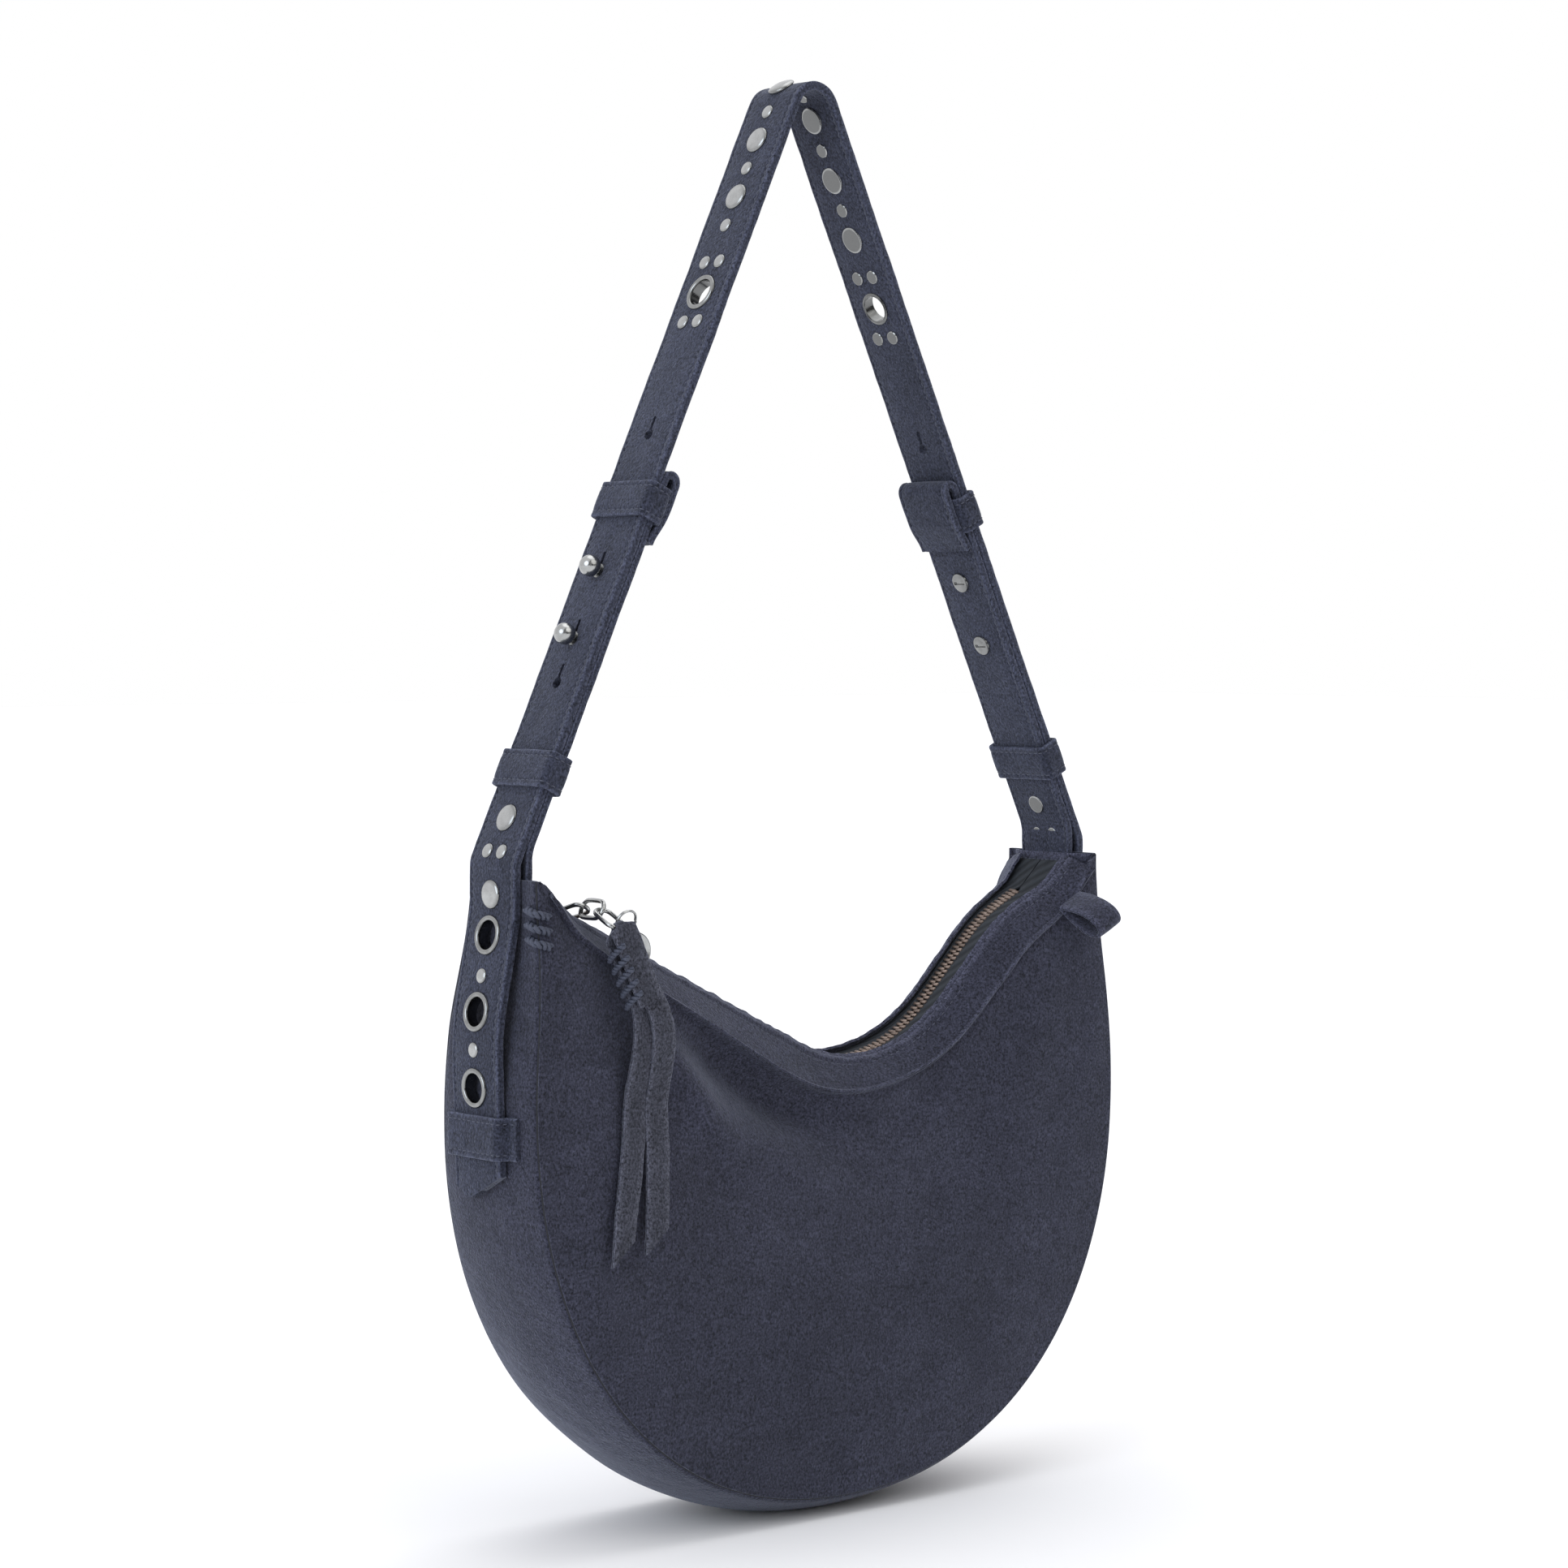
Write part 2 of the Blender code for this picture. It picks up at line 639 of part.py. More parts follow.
def build_slider(mouth):
    """The slider over the closed teeth at the left end, and all that hangs from it."""
    start, along = straight_run(mouth)
    centre = start + along * SLIDER_FROM_KNEE
    t_axis = Vector((along.x, 0, along.y))
    n_axis = Vector((-along.y, 0, along.x))
    row_middle = TAPE_DROP + TAPE_THICK / 2
    place = Vector((centre.x, 0, centre.y)) - n_axis * row_middle
    space = ROW_THICK / 2 + GAP
    flare = space + GAP / 2
    plate_outer = space + SLIDER_PLATE
    half_neck = SLIDER_NECK / 2
    half_width = SLIDER_WIDTH / 2
    bail_leg = BAIL_SPAN / 2
    bail_top = plate_outer + BAIL_HOLE + BAIL_WIRE
    hole = [
        (bail_leg - BAIL_WIRE, plate_outer + BAIL_WIRE / 4),
        (bail_leg - BAIL_WIRE, bail_top - BAIL_WIRE - BAIL_WIRE / 2),
        (bail_leg - BAIL_WIRE * 3 / 2, bail_top - BAIL_WIRE),
        (-bail_leg + BAIL_WIRE * 3 / 2, bail_top - BAIL_WIRE),
        (-bail_leg + BAIL_WIRE, bail_top - BAIL_WIRE - BAIL_WIRE / 2),
        (-bail_leg + BAIL_WIRE, plate_outer + BAIL_WIRE / 4),
    ]
    body = [
        (half_neck, -space),
        (half_neck, space),
        (half_width, flare),
        (half_width, plate_outer),
        (-half_width, plate_outer),
        (-half_width, flare),
        (-half_neck, space),
        (-half_neck, -space),
        (-half_width, -flare),
        (-half_width, -plate_outer),
        (half_width, -plate_outer),
        (half_width, -flare),
    ]
    arch = [
        (bail_leg, plate_outer - SLIDER_PLATE / 2),
        (bail_leg, bail_top - BAIL_WIRE - GAP),
        (bail_leg - BAIL_WIRE, bail_top),
        (-bail_leg + BAIL_WIRE, bail_top),
        (-bail_leg, bail_top - BAIL_WIRE - GAP),
        (-bail_leg, plate_outer - SLIDER_PLATE / 2),
    ]
    matrix = frame(place, (0, 1, 0), t_axis)
    slider = meshed(plate("zip_slider", [body], SLIDER_LENGTH, matrix, bronze()))
    bail = meshed(plate("bail", [arch, hole], BAIL_WIRE, matrix, bronze(), CUTTERS))
    join = slider.modifiers.new("bail", "BOOLEAN")
    join.operation = "UNION"
    join.object = hide_cutter(bail)

    wire_high = plate_outer + BAIL_HOLE - LINK_WIRE / 2 - GAP
    hook = place + n_axis * wire_high
    up = Vector((0, 0, 1))
    out = Vector((0, -1, 0))
    reach = (out * math.cos(LINK_RISE_ANGLE) + n_axis * math.sin(LINK_RISE_ANGLE)).normalized()
    inside = LINK_WIRE + GAP
    wire("pull_link", oval(LINK_LENGTH, LINK_WIDTH), LINK_WIRE, frame(hook, reach, reach.cross(t_axis)), nickel())
    first_far = hook + reach * LINK_LENGTH
    second_near = first_far - reach * inside
    level = out
    wire("chain_link_upper", oval(LINK_LENGTH, LINK_WIDTH), LINK_WIRE, frame(second_near, level, t_axis), nickel())
    second_far = second_near + level * LINK_LENGTH
    third_near = second_far - level * inside
    fall = (out * math.cos(LINK_FALL_ANGLE) - up * math.sin(LINK_FALL_ANGLE)).normalized()
    side = Vector((1, 0, 0))
    matrix = frame(third_near, fall, fall.cross(side))
    wire("chain_link_lower", oval(LINK_LENGTH, LINK_WIDTH), LINK_WIRE, matrix, nickel())
    third_far = third_near + fall * LINK_LENGTH
    build_tassel(third_far)
    build_charm(third_near + fall * (LINK_LENGTH * CHARM_HANG_SHARE) + side * (LINK_WIDTH / 2), fall)


def build_tassel(hang):
    """A folded head round the last link, and two tails sewn into it."""
    hole = LINK_WIRE / 2 + 2 * GAP
    half = TASSEL_HEAD_THICK / 2
    top = hole + TASSEL_FOLD_WALL
    outline = [
        (half, -TASSEL_HEAD_HEIGHT + top),
        (half, -top * 2),
        (top, 0),
        (top / 2, top),
        (-top / 2, top),
        (-top, 0),
        (-half, -top * 2),
        (-half, -TASSEL_HEAD_HEIGHT + top),
    ]
    turn = 2 * math.pi / ROUND_STEPS
    eye = [(hole * math.cos(turn * k), hole * math.sin(turn * k)) for k in range(ROUND_STEPS)]
    # the notches beside the eye leave room for the link's two sides
    lean = Vector((0, -math.sin(TASSEL_TILT), -math.cos(TASSEL_TILT)))
    matrix = frame(hang, Vector((0, 1, 0)), (1, 0, 0))
    matrix = matrix @ Matrix.Rotation(-TASSEL_TILT, 4, "Z")
    fold_width = TASSEL_FOLD_WIDTH
    head = meshed(plate("tassel_head", [outline], TASSEL_WIDTH, matrix, suede()))
    pin = meshed(plate("tassel_eye_cutter", [eye], TASSEL_WIDTH * 2, matrix, suede(), CUTTERS))
    cut(head, hide_cutter(pin))
    side_width = (TASSEL_WIDTH * 2 - fold_width) / 2
    for sign in (-1, 1):
        shift = Matrix.Translation((0, 0, sign * (fold_width + side_width) / 2))
        notch = [(-half * 2, -hole * 2), (half * 2, -hole * 2), (half * 2, half * 2), (-half * 2, half * 2)]
        box = meshed(plate("tassel_notch_cutter", [notch], side_width, matrix @ shift, suede(), CUTTERS))
        cut(head, hide_cutter(box))
    foot = hang + lean * (TASSEL_HEAD_HEIGHT - top + GAP)
    for word, sign in (("left", -1), ("right", 1)):
        half_width = TAIL_WIDTH / 2
        outline = [
            (-half_width, 0),
            (half_width, 0),
            (half_width + sign * TAIL_SPREAD, -TAIL_LENGTH + (TAIL_SLANT if sign > 0 else 0)),
            (-half_width + sign * TAIL_SPREAD, -TAIL_LENGTH + (0 if sign > 0 else TAIL_SLANT)),
        ]
        place = foot + Vector((0, sign * (TAIL_THICK + GAP) / 2, 0))
        # drawn in local XY with local Y up, so local Z looks forward
        plate("tassel_tail_" + word, [outline], TAIL_THICK, frame(place, (1, 0, 0), (0, -1, 0)), suede())


def build_charm(hook, along):
    """A split ring on the last link and a plain round disc hanging from it."""
    centre = hook + Vector((RING_RADIUS - (LINK_WIRE + RING_WIRE) / 2 - GAP, 0, 0))
    wire("split_ring", ring(RING_RADIUS), RING_WIRE, frame(centre, (1, 0, 0), along), nickel())
    hang = Vector((0, 0, -1)) - along * along.dot(Vector((0, 0, -1)))
    hang.normalize()
    side = Vector((1, 0, 0))
    bottom = centre + (hang * math.cos(CHARM_SIDE_ANGLE) + side * math.sin(CHARM_SIDE_ANGLE)) * RING_RADIUS
    tangent = side * math.cos(CHARM_SIDE_ANGLE) - hang * math.sin(CHARM_SIDE_ANGLE)
    droop = Vector((tangent.z, 0, -tangent.x)).normalized()
    loop_centre = bottom + droop * (CHARM_LOOP_RADIUS - (RING_WIRE + CHARM_LOOP_WIRE) / 2 - GAP)
    disc_centre = loop_centre + droop * CHARM_LOOP_RADIUS - Vector((0, 0, CHARM_RADIUS - CHARM_LOOP_WIRE / 4))
    half = CHARM_THICK / 2
    edge = CHARM_THICK / 4
    profile = [(0, half), (CHARM_RADIUS - edge, half), (CHARM_RADIUS, half - edge)]
    profile += [(CHARM_RADIUS, edge - half), (CHARM_RADIUS - edge, -half), (0, -half)]
    disc = turned("charm_disc", profile, frame(disc_centre, (1, 0, 0), (0, 1, 0)), nickel(), CHARM_STEPS)
    loop_matrix = frame(loop_centre, droop, tangent)
    loop = wire("charm_loop", ring(CHARM_LOOP_RADIUS), CHARM_LOOP_WIRE, loop_matrix, nickel())
    loop = meshed(loop)
    PARTS.objects.unlink(loop)
    CUTTERS.objects.link(loop)
    join = disc.modifiers.new("loop", "BOOLEAN")
    join.operation = "UNION"
    join.object = hide_cutter(loop)


def strap_lean():
    """How far a leg leans in for each unit up, so that both legs meet in the fold's arc at the strap's top."""
    rise = STRAP_TOP - STRAP_FOOT_BEND_Z - APEX_RADIUS
    reach = math.hypot(STRAP_FOOT_X, rise)
    return math.tan(math.acos(APEX_RADIUS / reach) - math.atan2(rise, STRAP_FOOT_X))


def leg_line():
    """The strap's outer face on the right side, from below the swing axis up to the top, as (x, z)."""
    top_x = STRAP_FOOT_X
    point = STRAP_FOOT_BEND_Z + top_x / strap_lean()
    low = (top_x, SWING_Z - LOBE_RADIUS * 2)
    corners = [low, (top_x, STRAP_FOOT_BEND_Z), (0, point), (-top_x, STRAP_FOOT_BEND_Z), (-top_x, low[1])]
    return filleted(corners, (FOOT_BEND_RADIUS, APEX_RADIUS, FOOT_BEND_RADIUS))


def offset_line(points, distance):
    """The line moved to its left by distance."""
    points = np.array(points)
    steps = np.diff(points, axis=0)
    steps = steps / np.linalg.norm(steps, axis=1)[:, None]
    normals = np.stack([-steps[:, 1], steps[:, 0]], axis=1)
    first = np.vstack([normals[:1], normals])
    second = np.vstack([normals, normals[-1:]])
    middle = first + second
    scale = 2 / (middle**2).sum(axis=1)
    return points + middle * scale[:, None] * distance


def thinned(points):
    """The line without the points that lie within a hair of a straight run."""
    kept = [0]
    for index in range(1, len(points) - 1):
        a, b, c = (Vector(points[k]) for k in (kept[-1], index, index + 1))
        if (b - a).length > 0 and (c - b).length > 0 and (b - a).angle(c - b) > KINK_ANGLE:
            kept.append(index)
    return np.array([points[k] for k in kept + [len(points) - 1]])


def strap_band(name, outer, thick, width, material):
    """A strap of even thickness whose outer face follows the (x, z) line and whose body lies to its left."""
    outer = thinned([point for point in outer])
    inner = offset_line(outer, thick)
    outline = [tuple(point) for point in outer] + [tuple(point) for point in inner[::-1]]
    matrix = frame((0, 0, 0), (1, 0, 0), (0, -1, 0))
    return meshed(plate(name, [outline], width, matrix, material))


def foot_cutter(side):
    """Everything below the strap's rounded foot, where it turns on the swing axis."""
    half = STRAP_WIDTH / 2 + CUTTER_OVERRUN
    slope = (SHOULDER_EDGE_RISE - SHOULDER_RISE) / (STRAP_WIDTH / 2 - LOBE_RADIUS)
    edge = SHOULDER_EDGE_RISE + slope * CUTTER_OVERRUN
    deep = LOBE_RADIUS + STRAP_WIDTH
    outline = [(-half, -deep), (half, -deep), (half, edge), (LOBE_RADIUS, SHOULDER_RISE)]
    for step in range(ROUND_STEPS + 1):
        angle = math.pi * step / ROUND_STEPS
        outline.append((LOBE_RADIUS * math.cos(angle), -LOBE_RADIUS * math.sin(angle)))
    outline += [(-LOBE_RADIUS, SHOULDER_RISE), (-half, edge)]
    matrix = frame((side * STRAP_FOOT_X, 0, SWING_Z), (0, 1, 0), (1, 0, 0))
    made = plate("foot_cutter", [outline], STRAP_WIDTH, matrix, suede(), CUTTERS)
    return hide_cutter(meshed(made))


def hole_cutter(place, normal, radius, length):
    bm = bmesh.new()
    bmesh.ops.create_cone(
        bm, cap_ends=True, segments=ROUND_STEPS, radius1=radius, radius2=radius, depth=length
    )
    return hide_cutter(add_mesh("hole_cutter", bm, suede(), frame(place, (0, 1, 0), normal), CUTTERS))


def slit_cutter(place, normal, upward, length, width, depth):
    bm = bmesh.new()
    bmesh.ops.create_cube(bm, size=1)
    bmesh.ops.scale(bm, vec=(length, width, depth), verts=bm.verts)
    matrix = frame(Vector(place) + Vector(upward) * length / 2, upward, normal)
    return hide_cutter(add_mesh("slit_cutter", bm, suede(), matrix, CUTTERS))


class Leg:
    """Places along one leg of the strap, by distance up from the swing axis, on the strap's outer face."""

    def __init__(self, side):
        self.side = side
        line = leg_line()
        upward = line[: len(line) // 2 + 1]
        self.path = Path(upward)
        self.start = self.path.share_at_height(SWING_Z) * self.path.length
        self.run = self.path.length - self.start

    def at(self, distance):
        """(place, outward, upward) on the outer face."""
        share = (self.start + distance) / self.path.length
        x, z = self.path.at(share)
        along_x, along_z = self.path.direction(share)
        up = Vector((self.side * along_x, 0, along_z)).normalized()
        out = Vector((self.side * along_z, 0, -along_x)).normalized()
        return Vector((self.side * x, 0, z)), out, up

    def at_share(self, share):
        """The same at this share of the run up to the fold."""
        return self.at(self.run * share)


def disc_rivet(name, place, out, depth):
    """A domed cap, its post through the layers, and the flat back cap, as one riveted piece."""
    back = -depth - GAP
    profile = [
        (0, CAP_RISE + GAP),
        (CAP_RADIUS * 0.6, CAP_RISE * 0.8 + GAP),
        (CAP_RADIUS * 0.92, CAP_RISE * 0.35 + GAP),
        (CAP_RADIUS, GAP),
        (POST_RADIUS, GAP),
        (POST_RADIUS, back),
        (CAP_BACK_RADIUS, back),
        (CAP_BACK_RADIUS, back - CAP_BACK_THICK),
        (0, back - CAP_BACK_THICK),
    ]
    turned(name, profile, frame(place, (0, 1, 0), out), nickel())


def eyelet(name, place, out):
    """A rolled eyelet through the strap."""
    back = -STRAP_THICK - GAP
    profile = [
        (EYELET_HOLE_RADIUS, EYELET_LIP + GAP),
        (EYELET_RADIUS * 0.85, EYELET_LIP + GAP),
        (EYELET_RADIUS, GAP),
        (EYELET_HOLE_RADIUS + EYELET_WALL, GAP),
        (EYELET_HOLE_RADIUS + EYELET_WALL, back),
        (EYELET_BACK_RADIUS, back),
        (EYELET_BACK_RADIUS, back - EYELET_BACK_THICK),
        (EYELET_HOLE_RADIUS, back - EYELET_BACK_THICK),
        (EYELET_HOLE_RADIUS, EYELET_LIP + GAP),
    ]
    turned(name, profile, frame(place, (0, 1, 0), out), nickel())


def ball_stud(name, place, out):
    """A ball on a neck through the keyhole, screwed from behind the inner tab."""
    back = -STRAP_THICK - GAP - TAB_THICK - GAP
    low = GAP + STUD_NECK_RADIUS / 4
    middle = low + BALL_RADIUS * 0.9
    profile = [(0, middle + BALL_RADIUS)]
    for degrees in (60, 30, 0, -30):
        angle = math.radians(degrees)
        profile.append((BALL_RADIUS * math.cos(angle), middle + BALL_RADIUS * math.sin(angle)))
    profile += [
        (STUD_NECK_RADIUS, low),
        (STUD_NECK_RADIUS, back),
        (STUD_BACK_RADIUS, back),
        (STUD_BACK_RADIUS, back - STUD_BACK_THICK),
        (0, back - STUD_BACK_THICK),
    ]
    turned(name, profile, frame(place, (0, 1, 0), out), nickel())


def keyhole(strap, place, out, up, deep):
    """A round hole with a slit above it, cut through the strap."""
    cut(strap, hole_cutter(place - out * STRAP_THICK / 2, out, KEYHOLE_RADIUS, deep))
    middle = place - out * STRAP_THICK / 2
    cut(strap, slit_cutter(middle, out, up, KEYHOLE_SLIT, KEYHOLE_SLIT_WIDTH, deep))


def build_strap(legs):
    """The long outer strap above the swing axis, with its rivets, eyelets and keyholes."""
    strap = strap_band("shoulder_strap", leg_line(), STRAP_THICK, STRAP_WIDTH, suede())
    deep = STRAP_THICK * 2
    for side, leg in legs.items():
        word = "left" if side < 0 else "right"
        cut(strap, foot_cutter(side))
        steps = LEFT_DISC_STEPS if side < 0 else RIGHT_DISC_STEPS
        both = STRAP_THICK + GAP + TAB_THICK
        discs = [("foot", 0, both + LEATHER + GAP), ("low", leg.run * DISC_SHARE, both)]
        labels = ("top", "high", "middle")
        discs += [(labels[k], leg.run - RIVET_PITCH * step, STRAP_THICK) for k, step in enumerate(steps)]
        for label, distance, depth in discs:
            place, out, up = leg.at(distance)
            middle = place - out * STRAP_THICK / 2
            cut(strap, hole_cutter(middle, out, POST_RADIUS + GAP, deep))
            depth += FOLD_CAP_STAND_OFF if label == "top" else 0
            disc_rivet(f"cap_rivet_{word}_{label}", place, out, depth)
        place, out, up = leg.at(leg.run - EYELET_FROM_FOLD)
        middle = place - out * STRAP_THICK / 2
        cut(strap, hole_cutter(middle, out, EYELET_HOLE_RADIUS + EYELET_WALL + GAP, deep))
        eyelet(f"eyelet_{word}_high", place, out)
        for share in KEYHOLE_SHARES + STUD_SHARES:
            place, out, up = leg.at_share(share)
            keyhole(strap, place, out, up, deep)


def tab_line():
    """The right inner tab's outer face: up out of the end pocket, along the strap, and round the fold, as (x, z)."""
    foot_x = STRAP_FOOT_X - STRAP_THICK - LEATHER - 2 * GAP
    lean = strap_lean()
    slant = math.hypot(1, lean)
    meet = (STRAP_FOOT_X - foot_x - (STRAP_THICK + GAP) * slant) / lean
    bend = (foot_x, STRAP_FOOT_BEND_Z + meet)
    top = SWING_Z + (STRAP_TOP - SWING_Z) * TAB_RISE_SHARE
    rise = top - TAB_THICK - TAB_FOLD_GAP / 2 - bend[1]
    last = Vector((foot_x - lean * rise, bend[1] + rise))
    low = (foot_x, SWING_Z - LOBE_RADIUS * 2)
    points = [tuple(point) for point in filleted([low, bend, last], [TAB_BEND_RADIUS])]
    up = Vector((-lean, 1)).normalized()
    left = Vector((-up.y, up.x))
    radius = TAB_THICK + TAB_FOLD_GAP / 2
    middle = last + left * radius
    for step in range(1, ROUND_STEPS + 1):
        angle = math.pi * step / ROUND_STEPS
        points.append(tuple(middle - left * radius * math.cos(angle) + up * radius * math.sin(angle)))
    points.append(tuple(Vector(points[-1]) - up * TAB_FOLD_LENGTH))
    return points


def build_tabs(legs):
    """The two inner tab straps, sewn into the bag's ends, that carry the studs."""
    deep = TAB_THICK * 2
    for side, leg in legs.items():
        word = "left" if side < 0 else "right"
        points = tab_line()
        if side < 0:
            points = [(-x, z) for x, z in reversed(points)]
        tab = strap_band("inner_tab_" + word, points, TAB_THICK, STRAP_WIDTH, suede())
        cut(tab, foot_cutter(side))
        for share, depth in ((0, LEATHER + GAP), (DISC_SHARE, 0)):
            place, out, up = leg.at_share(share)
            middle = place - out * (STRAP_THICK + GAP + TAB_THICK / 2 + depth)
            cut(tab, hole_cutter(middle, out, POST_RADIUS + GAP, deep))
        for number, share in enumerate(STUD_SHARES):
            place, out, up = leg.at_share(share)
            middle = place - out * (STRAP_THICK + GAP + TAB_THICK / 2)
            cut(tab, hole_cutter(middle, out, STUD_NECK_RADIUS + GAP, deep))
            ball_stud(f"ball_stud_{word}_{('lower', 'upper')[number]}", place, out)


def tail_belly_x():
    """How far out the tail's face stands where it passes the widest part of the body."""
    return max(BODY_WIDTH / 2 + SIDE_BULGE + TAIL_BELLY_GAP + STRAP_THICK, STRAP_FOOT_X + TAIL_FLARE)


def tail_line():
    """The outer face of the right strap tail, from its tip up to the swing axis, as (x, z)."""
    corners = [
        (tail_belly_x() - TAIL_TUCK, TAIL_TIP_Z),
        (tail_belly_x(), TAIL_BELLY_Z),
        (STRAP_FOOT_X, SWING_Z - TAIL_TURN_DROP),
        (STRAP_FOOT_X, SWING_Z - TAIL_TOP_DROP),
    ]
    return filleted(corners, (TAIL_BEND_RADIUS, TAIL_TURN_RADIUS))


def build_tails():
    """The strap's two pointed ends, outside the gusset, below the swing axis."""
    for side, word in ((-1, "left"), (1, "right")):
        path = Path(tail_line())
        line = path.points
        if side < 0:
            line = [(-x, z) for x, z in reversed(line)]
        tail = strap_band("strap_tail_" + word, line, STRAP_THICK, STRAP_WIDTH, suede())
        socket = (side * STRAP_FOOT_X, 0, SWING_Z)
        cut(tail, hole_cutter(socket, (1, 0, 0), LOBE_RADIUS + GAP, STRAP_WIDTH))
        half = STRAP_WIDTH / 2 + CUTTER_OVERRUN
        tip = [
            (-half, TAIL_TIP_RISE),
            (-STRAP_WIDTH / 2, TAIL_TIP_RISE),
            (TAIL_TIP_OFFSET, 0),
            (STRAP_WIDTH / 2, TAIL_TIP_RISE / 2),
            (half, TAIL_TIP_RISE / 2),
            (half, -STRAP_WIDTH),
            (-half, -STRAP_WIDTH),
        ]
        matrix = frame((side * path.points[0][0], 0, TAIL_TIP_Z), (0, 1, 0), (1, 0, 0))
        cut(tail, hide_cutter(meshed(plate("tip_cutter", [tip], STRAP_WIDTH, matrix, suede(), CUTTERS))))
        for number, drop_share in enumerate(TAIL_EYELET_SHARES):
            share = path.share_at_height(SWING_Z - TAIL_LENGTH_DOWN * drop_share)
            x, height = path.at(share)
            along_x, along_z = path.direction(share)
            out = Vector((side * along_z, 0, -along_x))
            place = Vector((side * x, 0, height))
            middle = place - out * STRAP_THICK / 2
            cut(tail, hole_cutter(middle, out, EYELET_HOLE_RADIUS + EYELET_WALL + GAP, STRAP_THICK * 2))
            eyelet(f"eyelet_{word}_{('top', 'middle', 'low')[number]}", place, out)


def rounded_box(width, height, corner):
    """A rectangle about the origin with bevelled corners."""
    points = []
    for sx, sy in ((1, 1), (-1, 1), (-1, -1), (1, -1)):
        long_way = (sx * (width / 2 - corner), sy * height / 2)
        short_way = (sx * width / 2, sy * (height / 2 - corner))
        points += [short_way, long_way] if sx * sy > 0 else [long_way, short_way]
    return points


def build_keepers(legs):
    """Leather rings round the strap: one held in each tab's fold, one sliding lower down."""
    for side, leg in legs.items():
        word = "left" if side < 0 else "right"
        both = STRAP_THICK + GAP + TAB_THICK
        for name, share in (("upper_keeper_", UPPER_KEEPER_SHARE), ("lower_keeper_", LOWER_KEEPER_SHARE)):
            place, out, up = leg.at_share(share)
            space = both + 2 * GAP
            inner = rounded_box(STRAP_WIDTH + 2 * GAP, space, KEEPER_CORNER / 2)
            outer = rounded_box(STRAP_WIDTH + 2 * (GAP + KEEPER_THICK), space + 2 * KEEPER_THICK, KEEPER_CORNER)
            middle = place - out * both / 2
            plate(name + word, [outer, inner], KEEPER_HEIGHT, frame(middle, (0, 1, 0), up), suede())


def build_gusset_loops(seam):
    """Leather bridges sewn to the gusset that hold the strap's tails."""
    path = Path(tail_line())
    loop_z = SWING_Z - TAIL_LENGTH_DOWN * LOOP_SHARE
    for side, word in ((-1, "left"), (1, "right")):
        x, z = path.at(path.share_at_height(loop_z))
        outer = x + GAP + LEATHER
        edge = STRAP_WIDTH / 2 + GAP
        foot = edge + LEATHER + LOOP_FOOT
        wall = gusset_out(seam, loop_z, edge) + GAP
        outline = [
            (outer, edge + LEATHER / 2),
            (outer - LEATHER / 2, edge + LEATHER),
            (wall + LEATHER, edge + LEATHER),
            (wall + LEATHER, foot),
            (wall, foot),
            (wall, edge),
            (outer - LEATHER, edge),
        ]
        outline += [(px, -py) for px, py in reversed(outline)]
        matrix = Matrix.Translation((0, 0, loop_z))
        if side < 0:
            outline = [(-px, py) for px, py in outline]
        plate("gusset_loop_" + word, [outline], LOOP_HEIGHT, matrix, suede())


def build_facings():
    """The inner facings that close each end round the sewn tab."""
    for side, word in ((-1, "left"), (1, "right")):
        face = STRAP_FOOT_X - STRAP_THICK - LEATHER - TAB_THICK - CAP_BACK_THICK - 4 * GAP
        bm = bmesh.new()
        bmesh.ops.create_cube(bm, size=1)
        height = FACING_DROP - GAP
        bmesh.ops.scale(bm, vec=(FACING_THICK, FACING_WIDTH, height), verts=bm.verts)
        place = (side * (face - FACING_THICK / 2), 0, END_TOP - GAP - height / 2)
        add_mesh("end_facing_" + word, bm, suede(), Matrix.Translation(place))


def build_side_loop(mouth):
    """A strip folded into a drop-shaped loop and sewn under the front band."""
    length = SIDE_LOOP_LENGTH
    outer_half = SIDE_LOOP_DEPTH / 2
    inner_half = outer_half - LEATHER
    root = outer_half + LEATHER

    def drop(half, start, reach):
        points = [(start, -LEATHER / 4 if half < outer_half else -LEATHER)]
        bend = reach - half
        for step in range(ROUND_STEPS + 1):
            angle = -math.pi / 2 + math.pi * step / ROUND_STEPS
            points.append((bend + half * math.cos(angle), half * math.sin(angle)))
        points.append((start, LEATHER / 4 if half < outer_half else LEATHER))
        return points

    outer = drop(outer_half, 0, length)
    inner = drop(inner_half, root, length - LEATHER)
    along = Vector((0, -math.cos(SIDE_LOOP_FALL_ANGLE), -math.sin(SIDE_LOOP_FALL_ANGLE)))
    across = MOUTH_HALF - SIDE_LOOP_INSET
    share = mouth.share_at_x(across)
    seat = Vector(mouth_point(mouth, share, band_drop(share) + LEATHER, -(mouth_gap(share) + BAND_LEAN)))
    seat.x = across
    seat += along * (LEATHER + GAP) - Vector((0, GAP * 2, 0))
    matrix = frame(seat, along, (1, 0, 0))
    plate("side_loop_tab", [outer, inner], SIDE_LOOP_WIDTH, matrix, suede())


def build():
    global PARTS, CUTTERS
    clear_scene()
    PARTS = make_collection("shoulder_bag")
    CUTTERS = make_collection("cutters")
    seam = seam_line()
    mouth = mouth_line()
    legs = {-1: Leg(-1), 1: Leg(1)}
    build_panels(seam, mouth)
    build_gusset(seam)
    build_pocket(seam, mouth)
    build_bands(mouth)
    build_zip(mouth)
    build_slider(mouth)
    build_strap(legs)
    build_tabs(legs)
    build_tails()
    build_keepers(legs)
    build_gusset_loops(seam)
    build_facings()
    build_side_loop(mouth)


build()
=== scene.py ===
"""A soft suede shoulder bag with a riveted strap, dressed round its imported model.

Metres, +Z up, front at -Y.
"""

import math

import bpy
import numpy as np
from mathutils import Matrix, Vector, noise


